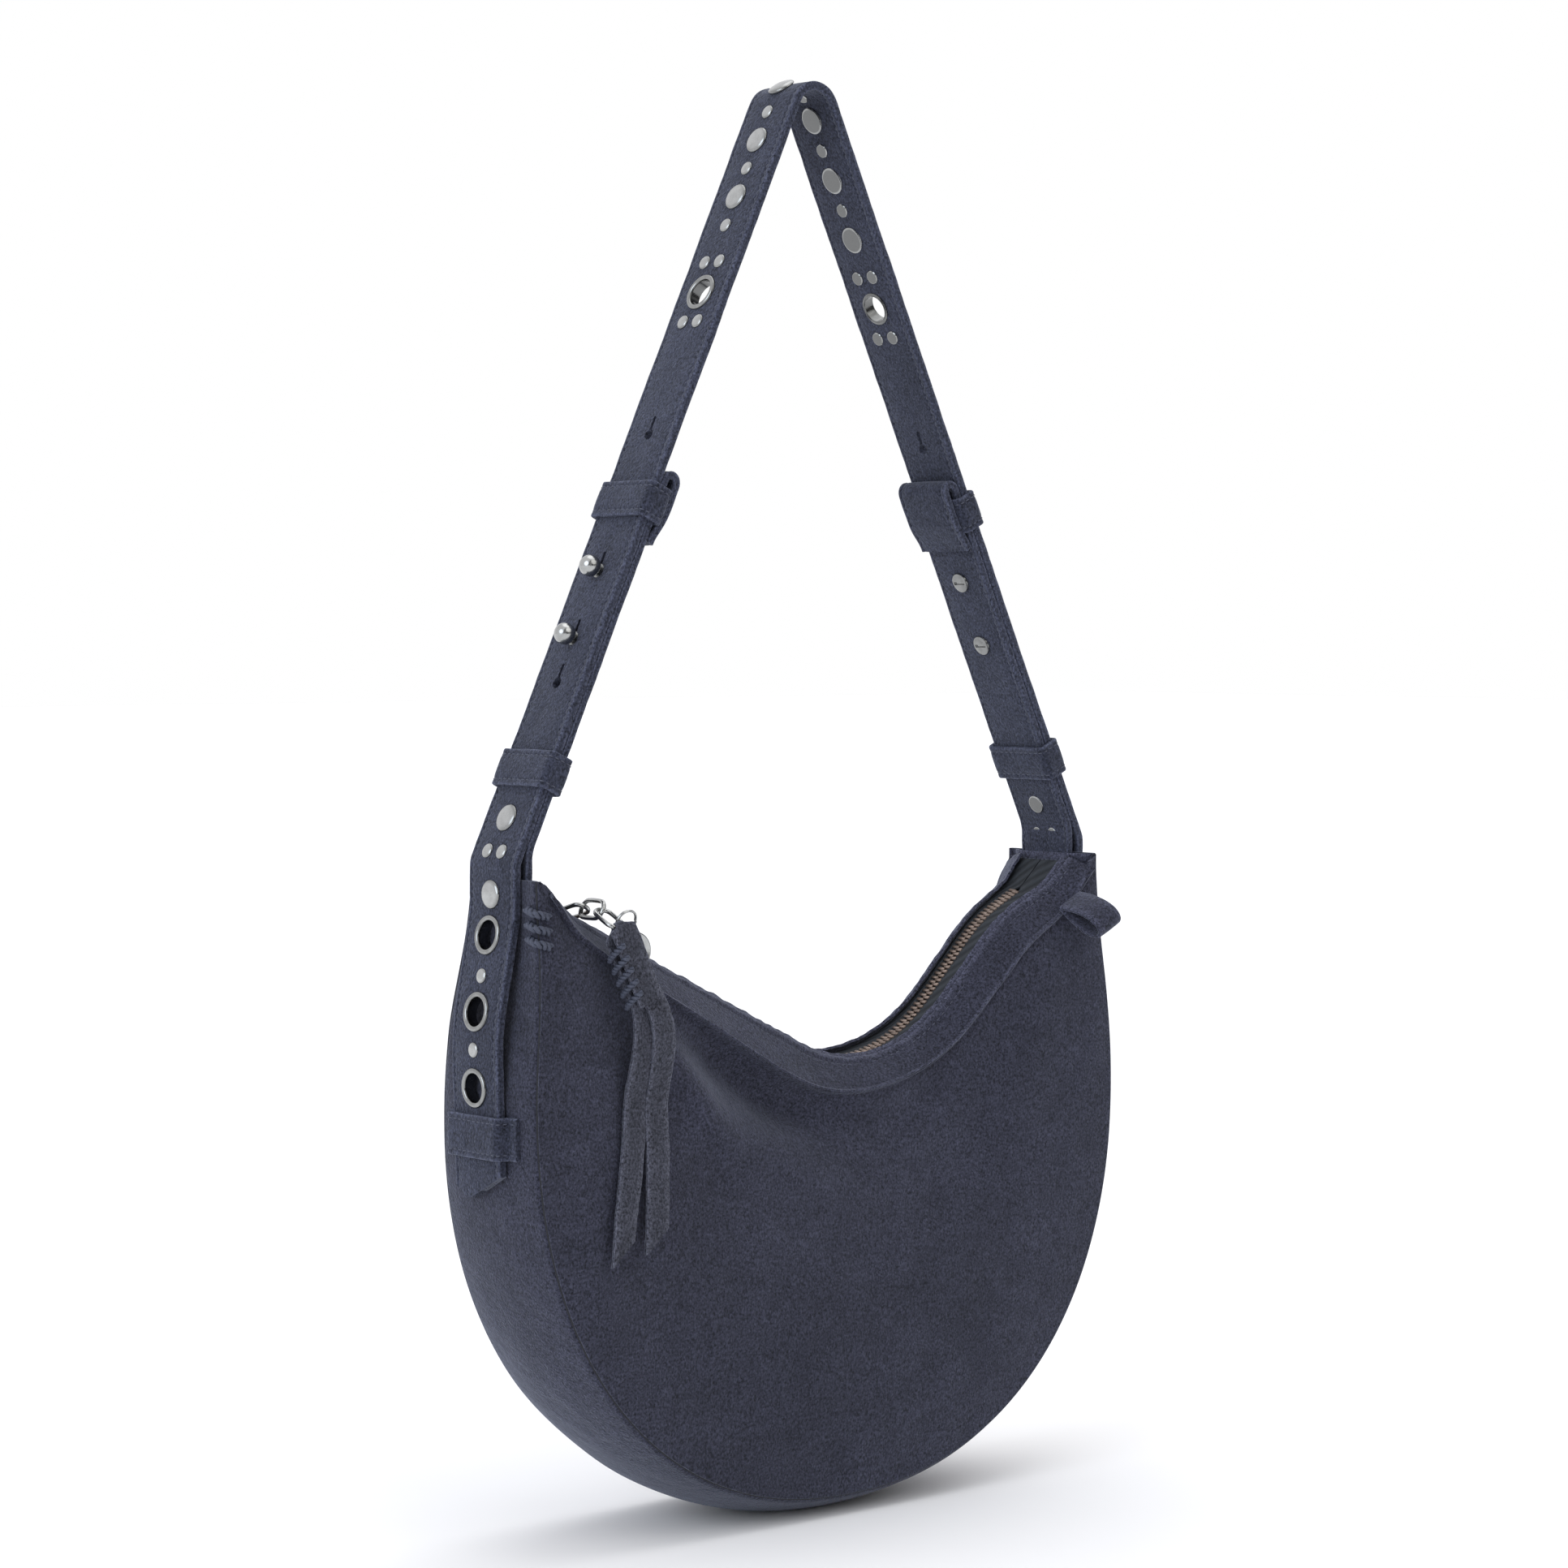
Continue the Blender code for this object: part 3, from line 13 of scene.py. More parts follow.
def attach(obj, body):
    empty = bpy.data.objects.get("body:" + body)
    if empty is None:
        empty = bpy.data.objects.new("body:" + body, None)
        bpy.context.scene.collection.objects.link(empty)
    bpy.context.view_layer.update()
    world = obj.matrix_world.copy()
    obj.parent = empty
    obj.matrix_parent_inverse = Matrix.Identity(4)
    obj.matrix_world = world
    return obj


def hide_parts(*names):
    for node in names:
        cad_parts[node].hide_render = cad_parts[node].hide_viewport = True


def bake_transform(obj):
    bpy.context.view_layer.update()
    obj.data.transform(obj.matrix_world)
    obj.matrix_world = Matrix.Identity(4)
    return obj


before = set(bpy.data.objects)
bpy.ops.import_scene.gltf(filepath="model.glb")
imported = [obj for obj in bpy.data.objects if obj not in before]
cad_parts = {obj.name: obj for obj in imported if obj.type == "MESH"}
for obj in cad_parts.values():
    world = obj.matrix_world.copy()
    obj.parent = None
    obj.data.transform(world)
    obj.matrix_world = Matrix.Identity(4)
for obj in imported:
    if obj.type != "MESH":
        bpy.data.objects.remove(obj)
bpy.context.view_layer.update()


# ---- Studio ---------------------------------------------------------------------------------------------
# The bag stands on a pale floor and is seen from its front left, a little above its own middle. Three soft
# lamps light it, the cooler one at the left, in a white room that is dim behind the photographer.
LOOK_AT = Vector((-0.005, 0, 0.3026))
LOOK_FROM_AZIMUTH = math.radians(-40)
LOOK_FROM_RISE = math.radians(2.3)
LOOK_DISTANCE = 1.6
PHOTO_SIDE = 1932
FOCAL_PIXELS = 4706
SENSOR_WIDTH = 36
FLOOR_SIDE = 30
FLOOR_COLOUR = (0.93, 0.93, 0.935, 1)
FLOOR_DROP = 0.0002
# the dim side of the room, and how bright the room is as a direction turns to that side
ROOM_WAY = (0.25, -0.9, -0.15)
ROOM_TONES = ((0.0, 1.0), (0.2, 0.85), (0.33, 0.13), (0.5, 0.22), (0.58, 0.5), (0.7, 0.1))

back_way = Vector(
    (
        math.sin(LOOK_FROM_AZIMUTH) * math.cos(LOOK_FROM_RISE),
        -math.cos(LOOK_FROM_AZIMUTH) * math.cos(LOOK_FROM_RISE),
        math.sin(LOOK_FROM_RISE),
    )
)
bpy.ops.object.camera_add(location=LOOK_AT + back_way * LOOK_DISTANCE)
camera = bpy.context.object
camera.name = "camera"
camera.rotation_euler = (-back_way).to_track_quat("-Z", "Y").to_euler()
camera.data.sensor_width = SENSOR_WIDTH
camera.data.lens = FOCAL_PIXELS / PHOTO_SIDE * SENSOR_WIDTH
bpy.context.scene.camera = camera
bpy.context.scene.view_settings.view_transform = "Standard"


class Flow:
    """One value, colour or direction on its way through a finish. Sums and products add their own nodes."""

    def __init__(self, finish, socket):
        self.finish = finish
        self.socket = socket

    def maths(self, operation, *values, clamp=False):
        sockets = dict(enumerate(values))
        return self.finish.node("ShaderNodeMath", {"operation": operation, "use_clamp": clamp}, sockets)

    def __add__(self, other):
        return self.maths("ADD", self, other)

    def __mul__(self, other):
        return self.maths("MULTIPLY", self, other)

    __radd__ = __add__

    def between(self, low, high):
        """0 at low and 1 at high, with a soft start and end."""
        settings = {"clamp": True, "interpolation_type": "SMOOTHSTEP"}
        sockets = {"Value": self, "From Min": low, "From Max": high}
        return self.finish.node("ShaderNodeMapRange", settings, sockets)


class Finish:
    """A material. Constants are set on the shader's own sockets, and what varies is joined to them."""

    def __init__(self, name, **constants):
        self.material = bpy.data.materials.new(name)
        self.material.use_nodes = True
        self.tree = self.material.node_tree
        self.shader = self.tree.nodes["Principled BSDF"]
        for socket, value in constants.items():
            self.shader.inputs[socket.replace("_", " ")].default_value = value

    def node(self, kind, settings=None, sockets=None, out=0):
        made = self.tree.nodes.new(kind)
        for name, value in (settings or {}).items():
            setattr(made, name, value)
        for name, value in (sockets or {}).items():
            if isinstance(value, Flow):
                self.tree.links.new(value.socket, made.inputs[name])
            else:
                made.inputs[name].default_value = value
        return Flow(self, made.outputs[out])

    def join(self, **flows):
        for socket, flow in flows.items():
            self.tree.links.new(flow.socket, self.shader.inputs[socket.replace("_", " ")])

    def place(self):
        return self.node("ShaderNodeTexCoord", out="Object")

    def noise(self, place, scale, detail=2.0, roughness=0.5, stretch=None):
        if stretch:
            place = self.node("ShaderNodeMapping", None, {"Vector": place, "Scale": stretch})
        sockets = {"Vector": place, "Scale": scale, "Detail": detail, "Roughness": roughness}
        return self.node("ShaderNodeTexNoise", None, sockets)

    def mix(self, share, first, second):
        """Colours mixed by share, where each may be a plain colour."""
        sockets = {"Factor": share, 6: first, 7: second}
        return self.node("ShaderNodeMix", {"data_type": "RGBA"}, sockets, out=2)

    def tinted(self, colour, strength):
        """The colour scaled by a value, as a lighter or darker patch of the same stuff."""
        return self.node("ShaderNodeVectorMath", {"operation": "SCALE"}, {0: colour, "Scale": strength})

    def bump(self, height, distance, strength=1.0, under=None):
        sockets = {"Height": height, "Distance": distance, "Strength": strength}
        if under:
            sockets["Normal"] = under
        return self.node("ShaderNodeBump", None, sockets)


def plain(colour):
    return (*colour, 1.0)


def nothing_chosen():
    """An operator acts on all that is selected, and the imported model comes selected."""
    if bpy.context.mode != "OBJECT":
        bpy.ops.object.mode_set(mode="OBJECT")
    bpy.ops.object.select_all(action="DESELECT")


nothing_chosen()
bpy.ops.mesh.primitive_plane_add(size=FLOOR_SIDE, location=(0, 0, -FLOOR_DROP))
floor = bpy.context.object
floor.name = "floor"
paper = Finish("pale_paper", Roughness=0.9)
paper_tone = paper.noise(paper.place(), 3, 3)
paper.join(Base_Color=paper.mix(paper_tone, plain((0.92, 0.92, 0.925)), FLOOR_COLOUR))
floor.data.materials.append(paper.material)

world = bpy.data.worlds.new("room")
bpy.context.scene.world = world
world.use_nodes = True
room = world.node_tree
room_light = room.nodes["Background"]
way = room.nodes.new("ShaderNodeTexCoord")
toward_camera = room.nodes.new("ShaderNodeVectorMath")
toward_camera.operation = "DOT_PRODUCT"
toward_camera.inputs[1].default_value = ROOM_WAY
room.links.new(way.outputs["Generated"], toward_camera.inputs[0])
fall_off = room.nodes.new("ShaderNodeValToRGB")
for number, (position, tone) in enumerate(ROOM_TONES):
    stop = fall_off.color_ramp.elements[number] if number < 2 else fall_off.color_ramp.elements.new(position)
    stop.position = position
    stop.color = (tone, tone, tone * 1.03, 1)
room.links.new(toward_camera.outputs["Value"], fall_off.inputs[0])
seen_straight = room.nodes.new("ShaderNodeLightPath")
backdrop = room.nodes.new("ShaderNodeMix")
backdrop.data_type = "RGBA"
backdrop.inputs[7].default_value = (1, 1, 1, 1)
room.links.new(seen_straight.outputs["Is Camera Ray"], backdrop.inputs[0])
room.links.new(fall_off.outputs[0], backdrop.inputs[6])
room.links.new(backdrop.outputs[2], room_light.inputs["Color"])

# name, direction and height in degrees, strength, spread in degrees, colour
LAMPS = (
    ("left_lamp", -78, 22, 0.95, 42, (0.80, 0.89, 1.0)),
    ("front_lamp", 12, 38, 0.75, 50, (1.0, 0.985, 0.97)),
    ("top_lamp", 100, 70, 0.8, 60, (1.0, 1.0, 1.0)),
)
for lamp_name, lamp_azimuth, lamp_rise, strength, spread, colour in LAMPS:
    turn, rise = math.radians(lamp_azimuth), math.radians(lamp_rise)
    from_way = Vector((math.sin(turn) * math.cos(rise), -math.cos(turn) * math.cos(rise), math.sin(rise)))
    bpy.ops.object.light_add(type="SUN", location=from_way * 3)
    lamp = bpy.context.object
    lamp.name = lamp_name
    lamp.rotation_euler = (-from_way).to_track_quat("-Z", "Y").to_euler()
    lamp.data.energy = strength
    lamp.data.angle = math.radians(spread)
    lamp.data.color = colour


# ---- Front and back panels ------------------------------------------------------------------------------
# Two half-moon pieces of 2 mm suede. They are sewn right sides together to the gusset and turned, so their
# edges roll in to the seam, and along the mouth their turned edge stands up as a stitched ridge.
BODY_HALF = 0.157
WIDEST_Z = 0.177
END_TOP = 0.269
SEAM_LIFT = 0.0075
SEAM_ROUNDNESS = 2.2
END_DRAW_SHARE = 0.78
END_NARROWING = 0.0045
BASE_HALF_DEPTH = 0.037
END_DEPTH_LOSS = 0.0075
# near their tops the ends are drawn in, from this height up
DRAWN_FROM_Z = 0.203
DRAWN_RIGHT = 0.0022
DRAWN_LEFT_FRONT = 0.0037
DRAWN_LEFT_BACK = 0.0095
LEATHER = 0.002
MOUTH_CORNERS = (
    (-0.142, 0.268),
    (-0.1278, 0.25506),
    (0.03692, 0.1742),
    (0.10409, 0.24343),
    (0.12993, 0.25646),
    (0.142, 0.268),
)
MOUTH_ROUNDINGS = (0.020, 0.065, 0.080, 0.020)
BAND_LEAN = 0.0105
# share of the mouth's length from the left, and how far the top edge stands from the middle there
FRONT_GAPS = ((0, 0.0153), (0.06, 0.0156), (0.15, 0.0147), (0.3, 0.0136))
FRONT_GAPS += ((0.5, 0.013), (0.7, 0.014), (0.85, 0.0159), (1, 0.0175))
BACK_GAPS = ((0, 0.0105), (0.08, 0.01), (0.2, 0.0115), (0.35, 0.013), (0.58, 0.013))
BACK_GAPS += ((0.66, 0.0098), (0.73, 0.0066), (0.85, 0.0063), (0.93, 0.009), (1, 0.013))
# the same shares, and how wide the band is there
BAND_WIDTHS = ((0, 0.004), (0.06, 0.008), (0.14, 0.0112), (0.28, 0.0128), (0.37, 0.0150), (0.45, 0.0165))
BAND_WIDTHS += ((0.52, 0.0142), (0.6, 0.0104), (0.7, 0.0112), (0.8, 0.012), (0.92, 0.0112), (1, 0.005))
PANEL_BULGE = 0.003
PANEL_COLUMNS = 200
PANEL_ROWS = 76
SEAM_ROLL = 0.0018
SEAM_DEPTH = 0.0015
# distance from the panel's top, and how far the turned edge stands out there
RIDGE = ((0, -0.0012), (0.0004, 0.0006), (0.001, 0.0017), (0.0018, 0.0012))
RIDGE += ((0.0028, -0.0004), (0.004, -0.0002), (0.007, 0))
# x, z, half length, half width, turn in degrees, height: where the suede stands out or falls in
FRONT_FORMS = (
    (0.010, 0.075, 0.095, 0.055, 0, 0.0035),
    (-0.048, 0.185, 0.036, 0.011, -33, -0.0110),
    (-0.012, 0.168, 0.032, 0.011, -10, -0.0065),
    (0.050, 0.170, 0.030, 0.010, 30, -0.0030),
    (-0.0765, 0.184, 0.030, 0.0085, -53, 0.0048),
    (-0.030, 0.148, 0.035, 0.012, -25, 0.0020),
    (0.060, 0.140, 0.050, 0.020, 35, -0.0018),
    (0.110, 0.190, 0.045, 0.014, 70, 0.0015),
    (-0.120, 0.130, 0.060, 0.020, 80, 0.0012),
    (-0.060, 0.050, 0.050, 0.018, -30, -0.0012),
)
BACK_FORMS = (
    (-0.010, 0.078, 0.095, 0.055, 0, 0.0035),
    (0.020, 0.160, 0.060, 0.010, -20, -0.0030),
    (-0.040, 0.165, 0.045, 0.012, -50, 0.0020),
    (0.090, 0.120, 0.045, 0.018, 60, 0.0020),
    (-0.100, 0.120, 0.060, 0.018, 100, -0.0015),
)


class Path:
    """A line of points that can be asked for the place and direction at any share of its length."""

    def __init__(self, points):
        points = np.array(points, float)
        steps = np.linalg.norm(np.diff(points, axis=0), axis=1)
        self.points = points[np.concatenate([[True], steps > 0])]
        self.run = np.concatenate([[0], np.cumsum(steps[steps > 0])])
        self.length = float(self.run[-1])

    def at(self, share):
        return Vector([float(np.interp(share * self.length, self.run, column)) for column in self.points.T])

    def direction(self, share):
        return (self.at(min(share + 0.001, 1)) - self.at(max(share - 0.001, 0))).normalized()

    def share_at(self, value, axis):
        """The share where the line reaches this value on an axis, for a line that only grows along it."""
        return float(np.interp(value, self.points[:, axis], self.run)) / self.length


def filleted(corners, radii):
    """Straight runs between the corners, with an arc of each radius at the corners between the ends."""
    points = [Vector(corners[0])]
    for before, corner, after, radius in zip(corners, corners[1:], corners[2:], radii):
        corner = Vector(corner)
        back = (Vector(before) - corner).normalized()
        ahead = (Vector(after) - corner).normalized()
        half = back.angle(ahead) / 2
        middle = corner + (back + ahead).normalized() * radius / math.sin(half)
        start = corner + back * radius / math.tan(half) - middle
        end = corner + ahead * radius / math.tan(half) - middle
        sweep = start.angle(end)
        for step in range(25):
            turn = sweep * step / 24
            points.append(middle + (start * math.sin(sweep - turn) + end * math.sin(turn)) / math.sin(sweep))
    points.append(Vector(corners[-1]))
    return points


def eased(share):
    """The share held between 0 and 1, with a soft start and end."""
    share = min(max(share, 0), 1)
    return share * share * (3 - 2 * share)


def seam_points():
    """The seam from the left end's top, down and round the bottom, to the right end's top, as (x, z)."""
    power = 2 / SEAM_ROUNDNESS
    right = []
    for step in range(97):
        angle = math.pi / 2 * step / 96
        fall = max(math.cos(angle), 0) ** power
        right.append((BODY_HALF * math.sin(angle) ** power, SEAM_LIFT + (WIDEST_Z - SEAM_LIFT) * (1 - fall)))
    for step in range(1, 49):
        share = step / 48
        inward = END_NARROWING * eased(share / END_DRAW_SHARE)
        right.append((BODY_HALF - inward, WIDEST_Z + (END_TOP - WIDEST_Z) * share))
    return [(-x, z) for x, z in reversed(right)] + right[1:]


SEAM = Path(seam_points())
MOUTH = Path(filleted(MOUTH_CORNERS, MOUTH_ROUNDINGS))


def half_depth(z):
    return BASE_HALF_DEPTH - END_DEPTH_LOSS * (z - SEAM_LIFT) / (END_TOP - SEAM_LIFT)


def seam_depth(x, z, side):
    """How far the seam stands from the middle, drawn in near the ends' tops and most at the left back."""
    drawn_in = DRAWN_RIGHT if x > 0 else DRAWN_LEFT_FRONT if side < 0 else DRAWN_LEFT_BACK
    return half_depth(z) - drawn_in * eased((z - DRAWN_FROM_Z) / (END_TOP - DRAWN_FROM_Z))


def evened(table, share):
    """The table's value here, averaged over a short stretch of the mouth."""
    nearby = [min(max(share + step * 0.015, 0), 1) for step in range(-2, 3)]
    return sum(profile_at(table, place) for place in nearby) / 5


def mouth_gap(share, side):
    """How far this side's top edge stands from the middle."""
    return evened(FRONT_GAPS if side < 0 else BACK_GAPS, share)


def band_drop(share):
    """How wide the band is: broadest halfway down the left slope, and narrow past the lowest place."""
    return evened(BAND_WIDTHS, share)


def near_mouth(share, drop, y):
    """A place near the mouth's top edge, drop below it square to the edge."""
    spot, along = MOUTH.at(share), MOUTH.direction(share)
    return Vector((spot.x + along.y * drop, y, spot.y - along.x * drop))


def near_seam(share, inset):
    """The seam line moved inward by inset, as (x, z)."""
    spot, along = SEAM.at(share), SEAM.direction(share)
    return Vector((spot.x - along.y * inset, spot.y + along.x * inset))


def panel_run(across):
    """A panel's lower end on the seam as (x, z), its top end under the band, and the length between them."""
    low, top = near_seam(across, 0), near_mouth(across, band_drop(across), 0)
    return low, top, math.hypot(top.x - low.x, top.z - low.y)


def soft_form(forms, x, z):
    """How far the suede stands out of its even shape here."""
    out = 0
    for form_x, form_z, half_length, half_width, degrees, height in forms:
        turn = math.radians(degrees)
        along = (x - form_x) * math.cos(turn) + (z - form_z) * math.sin(turn)
        across = (z - form_z) * math.cos(turn) - (x - form_x) * math.sin(turn)
        out += height * math.exp(-((along / half_length) ** 2) - (across / half_width) ** 2)
    return out


def uneven(x, y, z, size):
    """A soft random swell from -1 to 1, the same each run."""
    return noise.noise(Vector((x, y, z)) / size)


def profile_at(profile, distance):
    places, heights = zip(*profile)
    return float(np.interp(distance, places, heights))


def panel_place(side):
    """Places for a panel: side is -1 at the front and +1 at the back."""
    forms = FRONT_FORMS if side < 0 else BACK_FORMS

    def place(across, up):
        across = across if side < 0 else 1 - across
        up = eased(up)
        low, top, length = panel_run(across)
        from_seam, from_ridge = up * length, (1 - up) * length
        tuck = max(1 - from_seam / SEAM_ROLL, 0)
        low = near_seam(across, 0.001 * tuck * tuck)
        x, z = low.x + (top.x - low.x) * up, low.y + (top.z - low.y) * up
        flat = 1 - (2 * across - 1) ** 4
        y = seam_depth(low.x, low.y, side) * (1 - up) + (mouth_gap(across, side) + BAND_LEAN) * up
        y += PANEL_BULGE * math.sin(math.pi * up) * flat
        calm = min(from_seam / 0.02, 1) * min(from_ridge / 0.0035, 1)
        y += calm * soft_form(forms, x, z)
        y += calm * (0.0005 * uneven(x, side, z, 0.03) + 0.00012 * uneven(x, side, z, 0.009))
        y += profile_at(RIDGE, from_ridge) * min(flat * 6, 1) - SEAM_DEPTH * tuck**2.5
        return Vector((x, side * y, z))

    return place


def new_sheet(name, columns, rows, place, wear=None):
    """A grid whose corners, shares from 0 to 1 both ways, go where place says; wear marks rubbed edges and
    painted highlights.
    """
    nothing_chosen()
    bpy.ops.mesh.primitive_grid_add(x_subdivisions=columns, y_subdivisions=rows, size=2)
    piece = bpy.context.object
    piece.name = piece.data.name = name
    shares = [((vert.co.x + 1) / 2, (vert.co.y + 1) / 2) for vert in piece.data.vertices]
    for vert, share in zip(piece.data.vertices, shares):
        vert.co = place(*share)
    if wear:
        wear_and_highlight = piece.data.attributes.new("wear_and_highlight", "FLOAT", "POINT")
        wear_and_highlight.data.foreach_set("value", [wear(*share) for share in shares])
    return piece


def chosen(piece):
    nothing_chosen()
    piece.select_set(True)
    bpy.context.view_layer.objects.active = piece
    return piece


def thickened(piece, thick):
    modifier = chosen(piece).modifiers.new("thickness", "SOLIDIFY")
    modifier.thickness = thick
    modifier.offset = -1
    modifier.use_even_offset = False
    bpy.ops.object.modifier_apply(modifier=modifier.name)
    return piece


def smoothed(piece, degrees=60):
    chosen(piece)
    bpy.ops.object.shade_smooth_by_angle(angle=math.radians(degrees))
    return piece


def dressed(piece, finish, slot, body, *nodes):
    """The piece in its finish, riding on its body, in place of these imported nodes."""
    piece.data.materials.clear()
    piece.data.materials.append(finish.material)
    if nodes:
        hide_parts(*nodes)
    if body:
        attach(piece, body)
    return piece


def suede(name, colour):
    """Napped leather: cloudy where it was stroked, a fine fleck of fibre ends, and paler where it rubs and
    where a highlight is painted on the panels' ridge.
    """
    finish = Finish(name, Specular_IOR_Level=0.18, Sheen_Weight=0.30, Sheen_Roughness=0.45)
    finish.shader.inputs["Sheen Tint"].default_value = (0.72, 0.78, 0.95, 1)
    place = finish.place()
    clouds = finish.noise(place, 16, 3, 0.55).between(0.3, 0.7)
    strokes = finish.noise(place, 70, 3, 0.6, stretch=(1, 1, 1.6)).between(0.3, 0.7)
    fleck = finish.noise(place, 950, 2.5, 0.62)
    fibre = finish.noise(place, 1900, 1.5, 0.5, stretch=(1, 1, 0.45))
    tone = 0.70 + clouds * 0.22 + strokes * 0.16
    flecked = fleck.between(0.28, 0.74) * 1.15 + fibre.between(0.35, 0.7) * 0.6 + 0.15
    # The rubbed mark pales worn edges, and on the panels' ridge crest it is also a painted highlight.
    wear_and_highlight = finish.node("ShaderNodeAttribute", {"attribute_name": "wear_and_highlight"}, None, out="Fac")
    base = finish.tinted(plain(colour)[:3], tone * flecked)
    pale = tuple(min(part * 1.75 + 0.004, 1) for part in colour)
    finish.join(Base_Color=finish.mix(wear_and_highlight, base, finish.tinted(pale, flecked)))
    height = fleck * 0.65 + fibre * 0.35
    near = finish.bump(height, 0.0006, 0.9)
    finish.join(Normal=finish.bump(strokes + clouds, 0.0006, 0.5, near))
    finish.join(Roughness=0.86 + fleck * 0.12)
    return finish


# Painted highlight: the crest of the panels' turned ridge is made paler, partly as rubbed nap and partly as a
# highlight painted where light falls on it.
def ridge_rub_and_highlight(across, up):
    from_ridge = (1 - eased(up)) * panel_run(across)[2]
    return max(1 - abs(from_ridge - 0.001) / 0.0008, 0) * 0.8


NAVY_SUEDE = suede("navy_suede", (0.0355, 0.0372, 0.058))
for side, word in ((-1, "front"), (1, "back")):
    panel = new_sheet(word + "_panel_suede", PANEL_COLUMNS, PANEL_ROWS, panel_place(side), ridge_rub_and_highlight)
    dressed(smoothed(thickened(panel, LEATHER)), NAVY_SUEDE, "suede", "bag", word + "_panel")


# ---- Gusset ---------------------------------------------------------------------------------------------
# One long strip of the same suede from the left end, round the bottom, to the right end. It swells past the
# seams where the bag's weight fills it, and its edges roll in to the same sewn line as the panels.
GUSSET_COLUMNS = 260
GUSSET_ROWS = 44
# how far it swells out at the base, at the widest place, and near the ends, where it falls in
BASE_SWELL, SIDE_SWELL, END_SWELL = 0.010, 0.0022, -0.0009
END_SWELL_SHARE = 0.74


def gusset_bulge(z):
    if z <= WIDEST_Z:
        height = max((z - SEAM_LIFT) / (WIDEST_Z - SEAM_LIFT), 0)
        return BASE_SWELL - (BASE_SWELL - SIDE_SWELL) * height**0.5
    rise = min((z - WIDEST_Z) / (END_TOP - WIDEST_Z) / END_SWELL_SHARE, 1)
    return SIDE_SWELL - (SIDE_SWELL - END_SWELL) * rise


def gusset_place(along, across):
    spot = SEAM.at(along)
    z = spot.y
    side = 1 - 2 * across
    side = math.sin(side * math.pi / 2) * 0.5 + side * 0.5
    half = seam_depth(spot.x, z, 1 if side > 0 else -1) - 0.0012
    from_seam = (1 - abs(side)) * half
    tuck = max(1 - from_seam / SEAM_ROLL, 0)
    power = 2 if z < WIDEST_Z else 4
    out = gusset_bulge(z) * (1 - abs(side) ** power) - 0.0012 * tuck**2.5
    calm = min(from_seam / 0.01, 1) * min(max((z - 0.012) / 0.02, 0), 1)
    out += calm * 0.0006 * uneven(spot.x, half * side, z, 0.028)
    edge = near_seam(along, -out)
    return Vector((edge.x, half * side, max(edge.y, 0)))


gusset = new_sheet("gusset_suede", GUSSET_COLUMNS, GUSSET_ROWS, gusset_place)
dressed(smoothed(thickened(gusset, LEATHER)), NAVY_SUEDE, "suede", "bag", "gusset")


# ---- Mouth bands ----------------------------------------------------------------------------------------
# A strip of suede along each side of the mouth, over an inner facing that stands a hair above it. One row of
# stitches holds both near the raw top edge, and one more holds the panel's ridge down below the band.
FACING_STEP = 0.0011
BAND_THICK = 0.0011
# distance from the raw edge, and how far the band stands out there
BAND_EDGE = ((0, -0.0006), (0.0003, 0.0001), (0.0009, 0.0004))
BAND_EDGE += ((0.0017, 0.0003), (0.0027, -0.0003), (0.0036, 0))
BAND_COLUMNS = 220
BAND_STITCHES_UP = 1 - 0.0027 / 0.0115
RIDGE_STITCHES_IN = 0.0026
STITCH_LENGTH = 0.0021
STITCH_WIDTH = 0.00055
STITCH_HEIGHT = 0.0004
STITCH_PITCH = 0.0031


def band_place(side, facing):
    def place(along, up):
        along = along if side < 0 else 1 - along
        full = band_drop(along)
        top, low = (0, full + 0.002) if facing else (FACING_STEP, full + 0.0008)
        drop = low + (top - low) * up
        y = mouth_gap(along, side) + BAND_LEAN * drop / full
        y += profile_at(BAND_EDGE, drop - top) - (BAND_THICK if facing else 0)
        spot = near_mouth(along, drop, y)
        y += 0.0004 * uneven(spot.x, side, spot.z, 0.03) * min(along * 12, (1 - along) * 12, 1)
        raw = max(1 - (drop - top) / 0.0025, 0) * 0.0006 * uneven(spot.x, side, spot.z, 0.0035)
        return near_mouth(along, drop + raw, side * y)

    return place


def edge_wear(along, up):
    return max((up - 0.82) / 0.18, 0) ** 2


def on_sheet(place, across, up):
    """A spot on a sheet with its direction along the sheet and its outward direction."""
    spot = place(across, up)
    along = (place(min(across + 0.002, 1), up) - place(max(across - 0.002, 0), up)).normalized()
    rise = (place(across, min(up + 0.01, 1)) - place(across, max(up - 0.01, 0))).normalized()
    return spot, along, along.cross(rise).normalized() * -1


def frame_at(origin, x_axis, z_axis):
    """A matrix at origin with local X and Z along the given directions."""
    z_axis = Vector(z_axis).normalized()
    x_axis = Vector(x_axis)
    x_axis = (x_axis - z_axis * x_axis.dot(z_axis)).normalized()
    turn = Matrix((x_axis, z_axis.cross(x_axis), z_axis)).transposed().to_4x4()
    return Matrix.Translation(Vector(origin)) @ turn


def settled(piece):
    """The piece with its place, turn and size in its mesh."""
    chosen(piece)
    bpy.ops.object.transform_apply(location=True, rotation=True, scale=True)
    return piece


def stitch_shape():
    """One thread stitch: a short rounded bar whose ends dive into the leather."""
    nothing_chosen()
    bpy.ops.mesh.primitive_uv_sphere_add(segments=6, ring_count=4, radius=0.5, rotation=(0, math.pi / 2, 0))
    shape = settled(bpy.context.object)
    for vert in shape.data.vertices:
        dive = (vert.co.x * 2) ** 4 * STITCH_HEIGHT * 0.7
        vert.co = (vert.co.x * STITCH_LENGTH, vert.co.y * STITCH_WIDTH, vert.co.z * STITCH_HEIGHT - dive)
    return shape


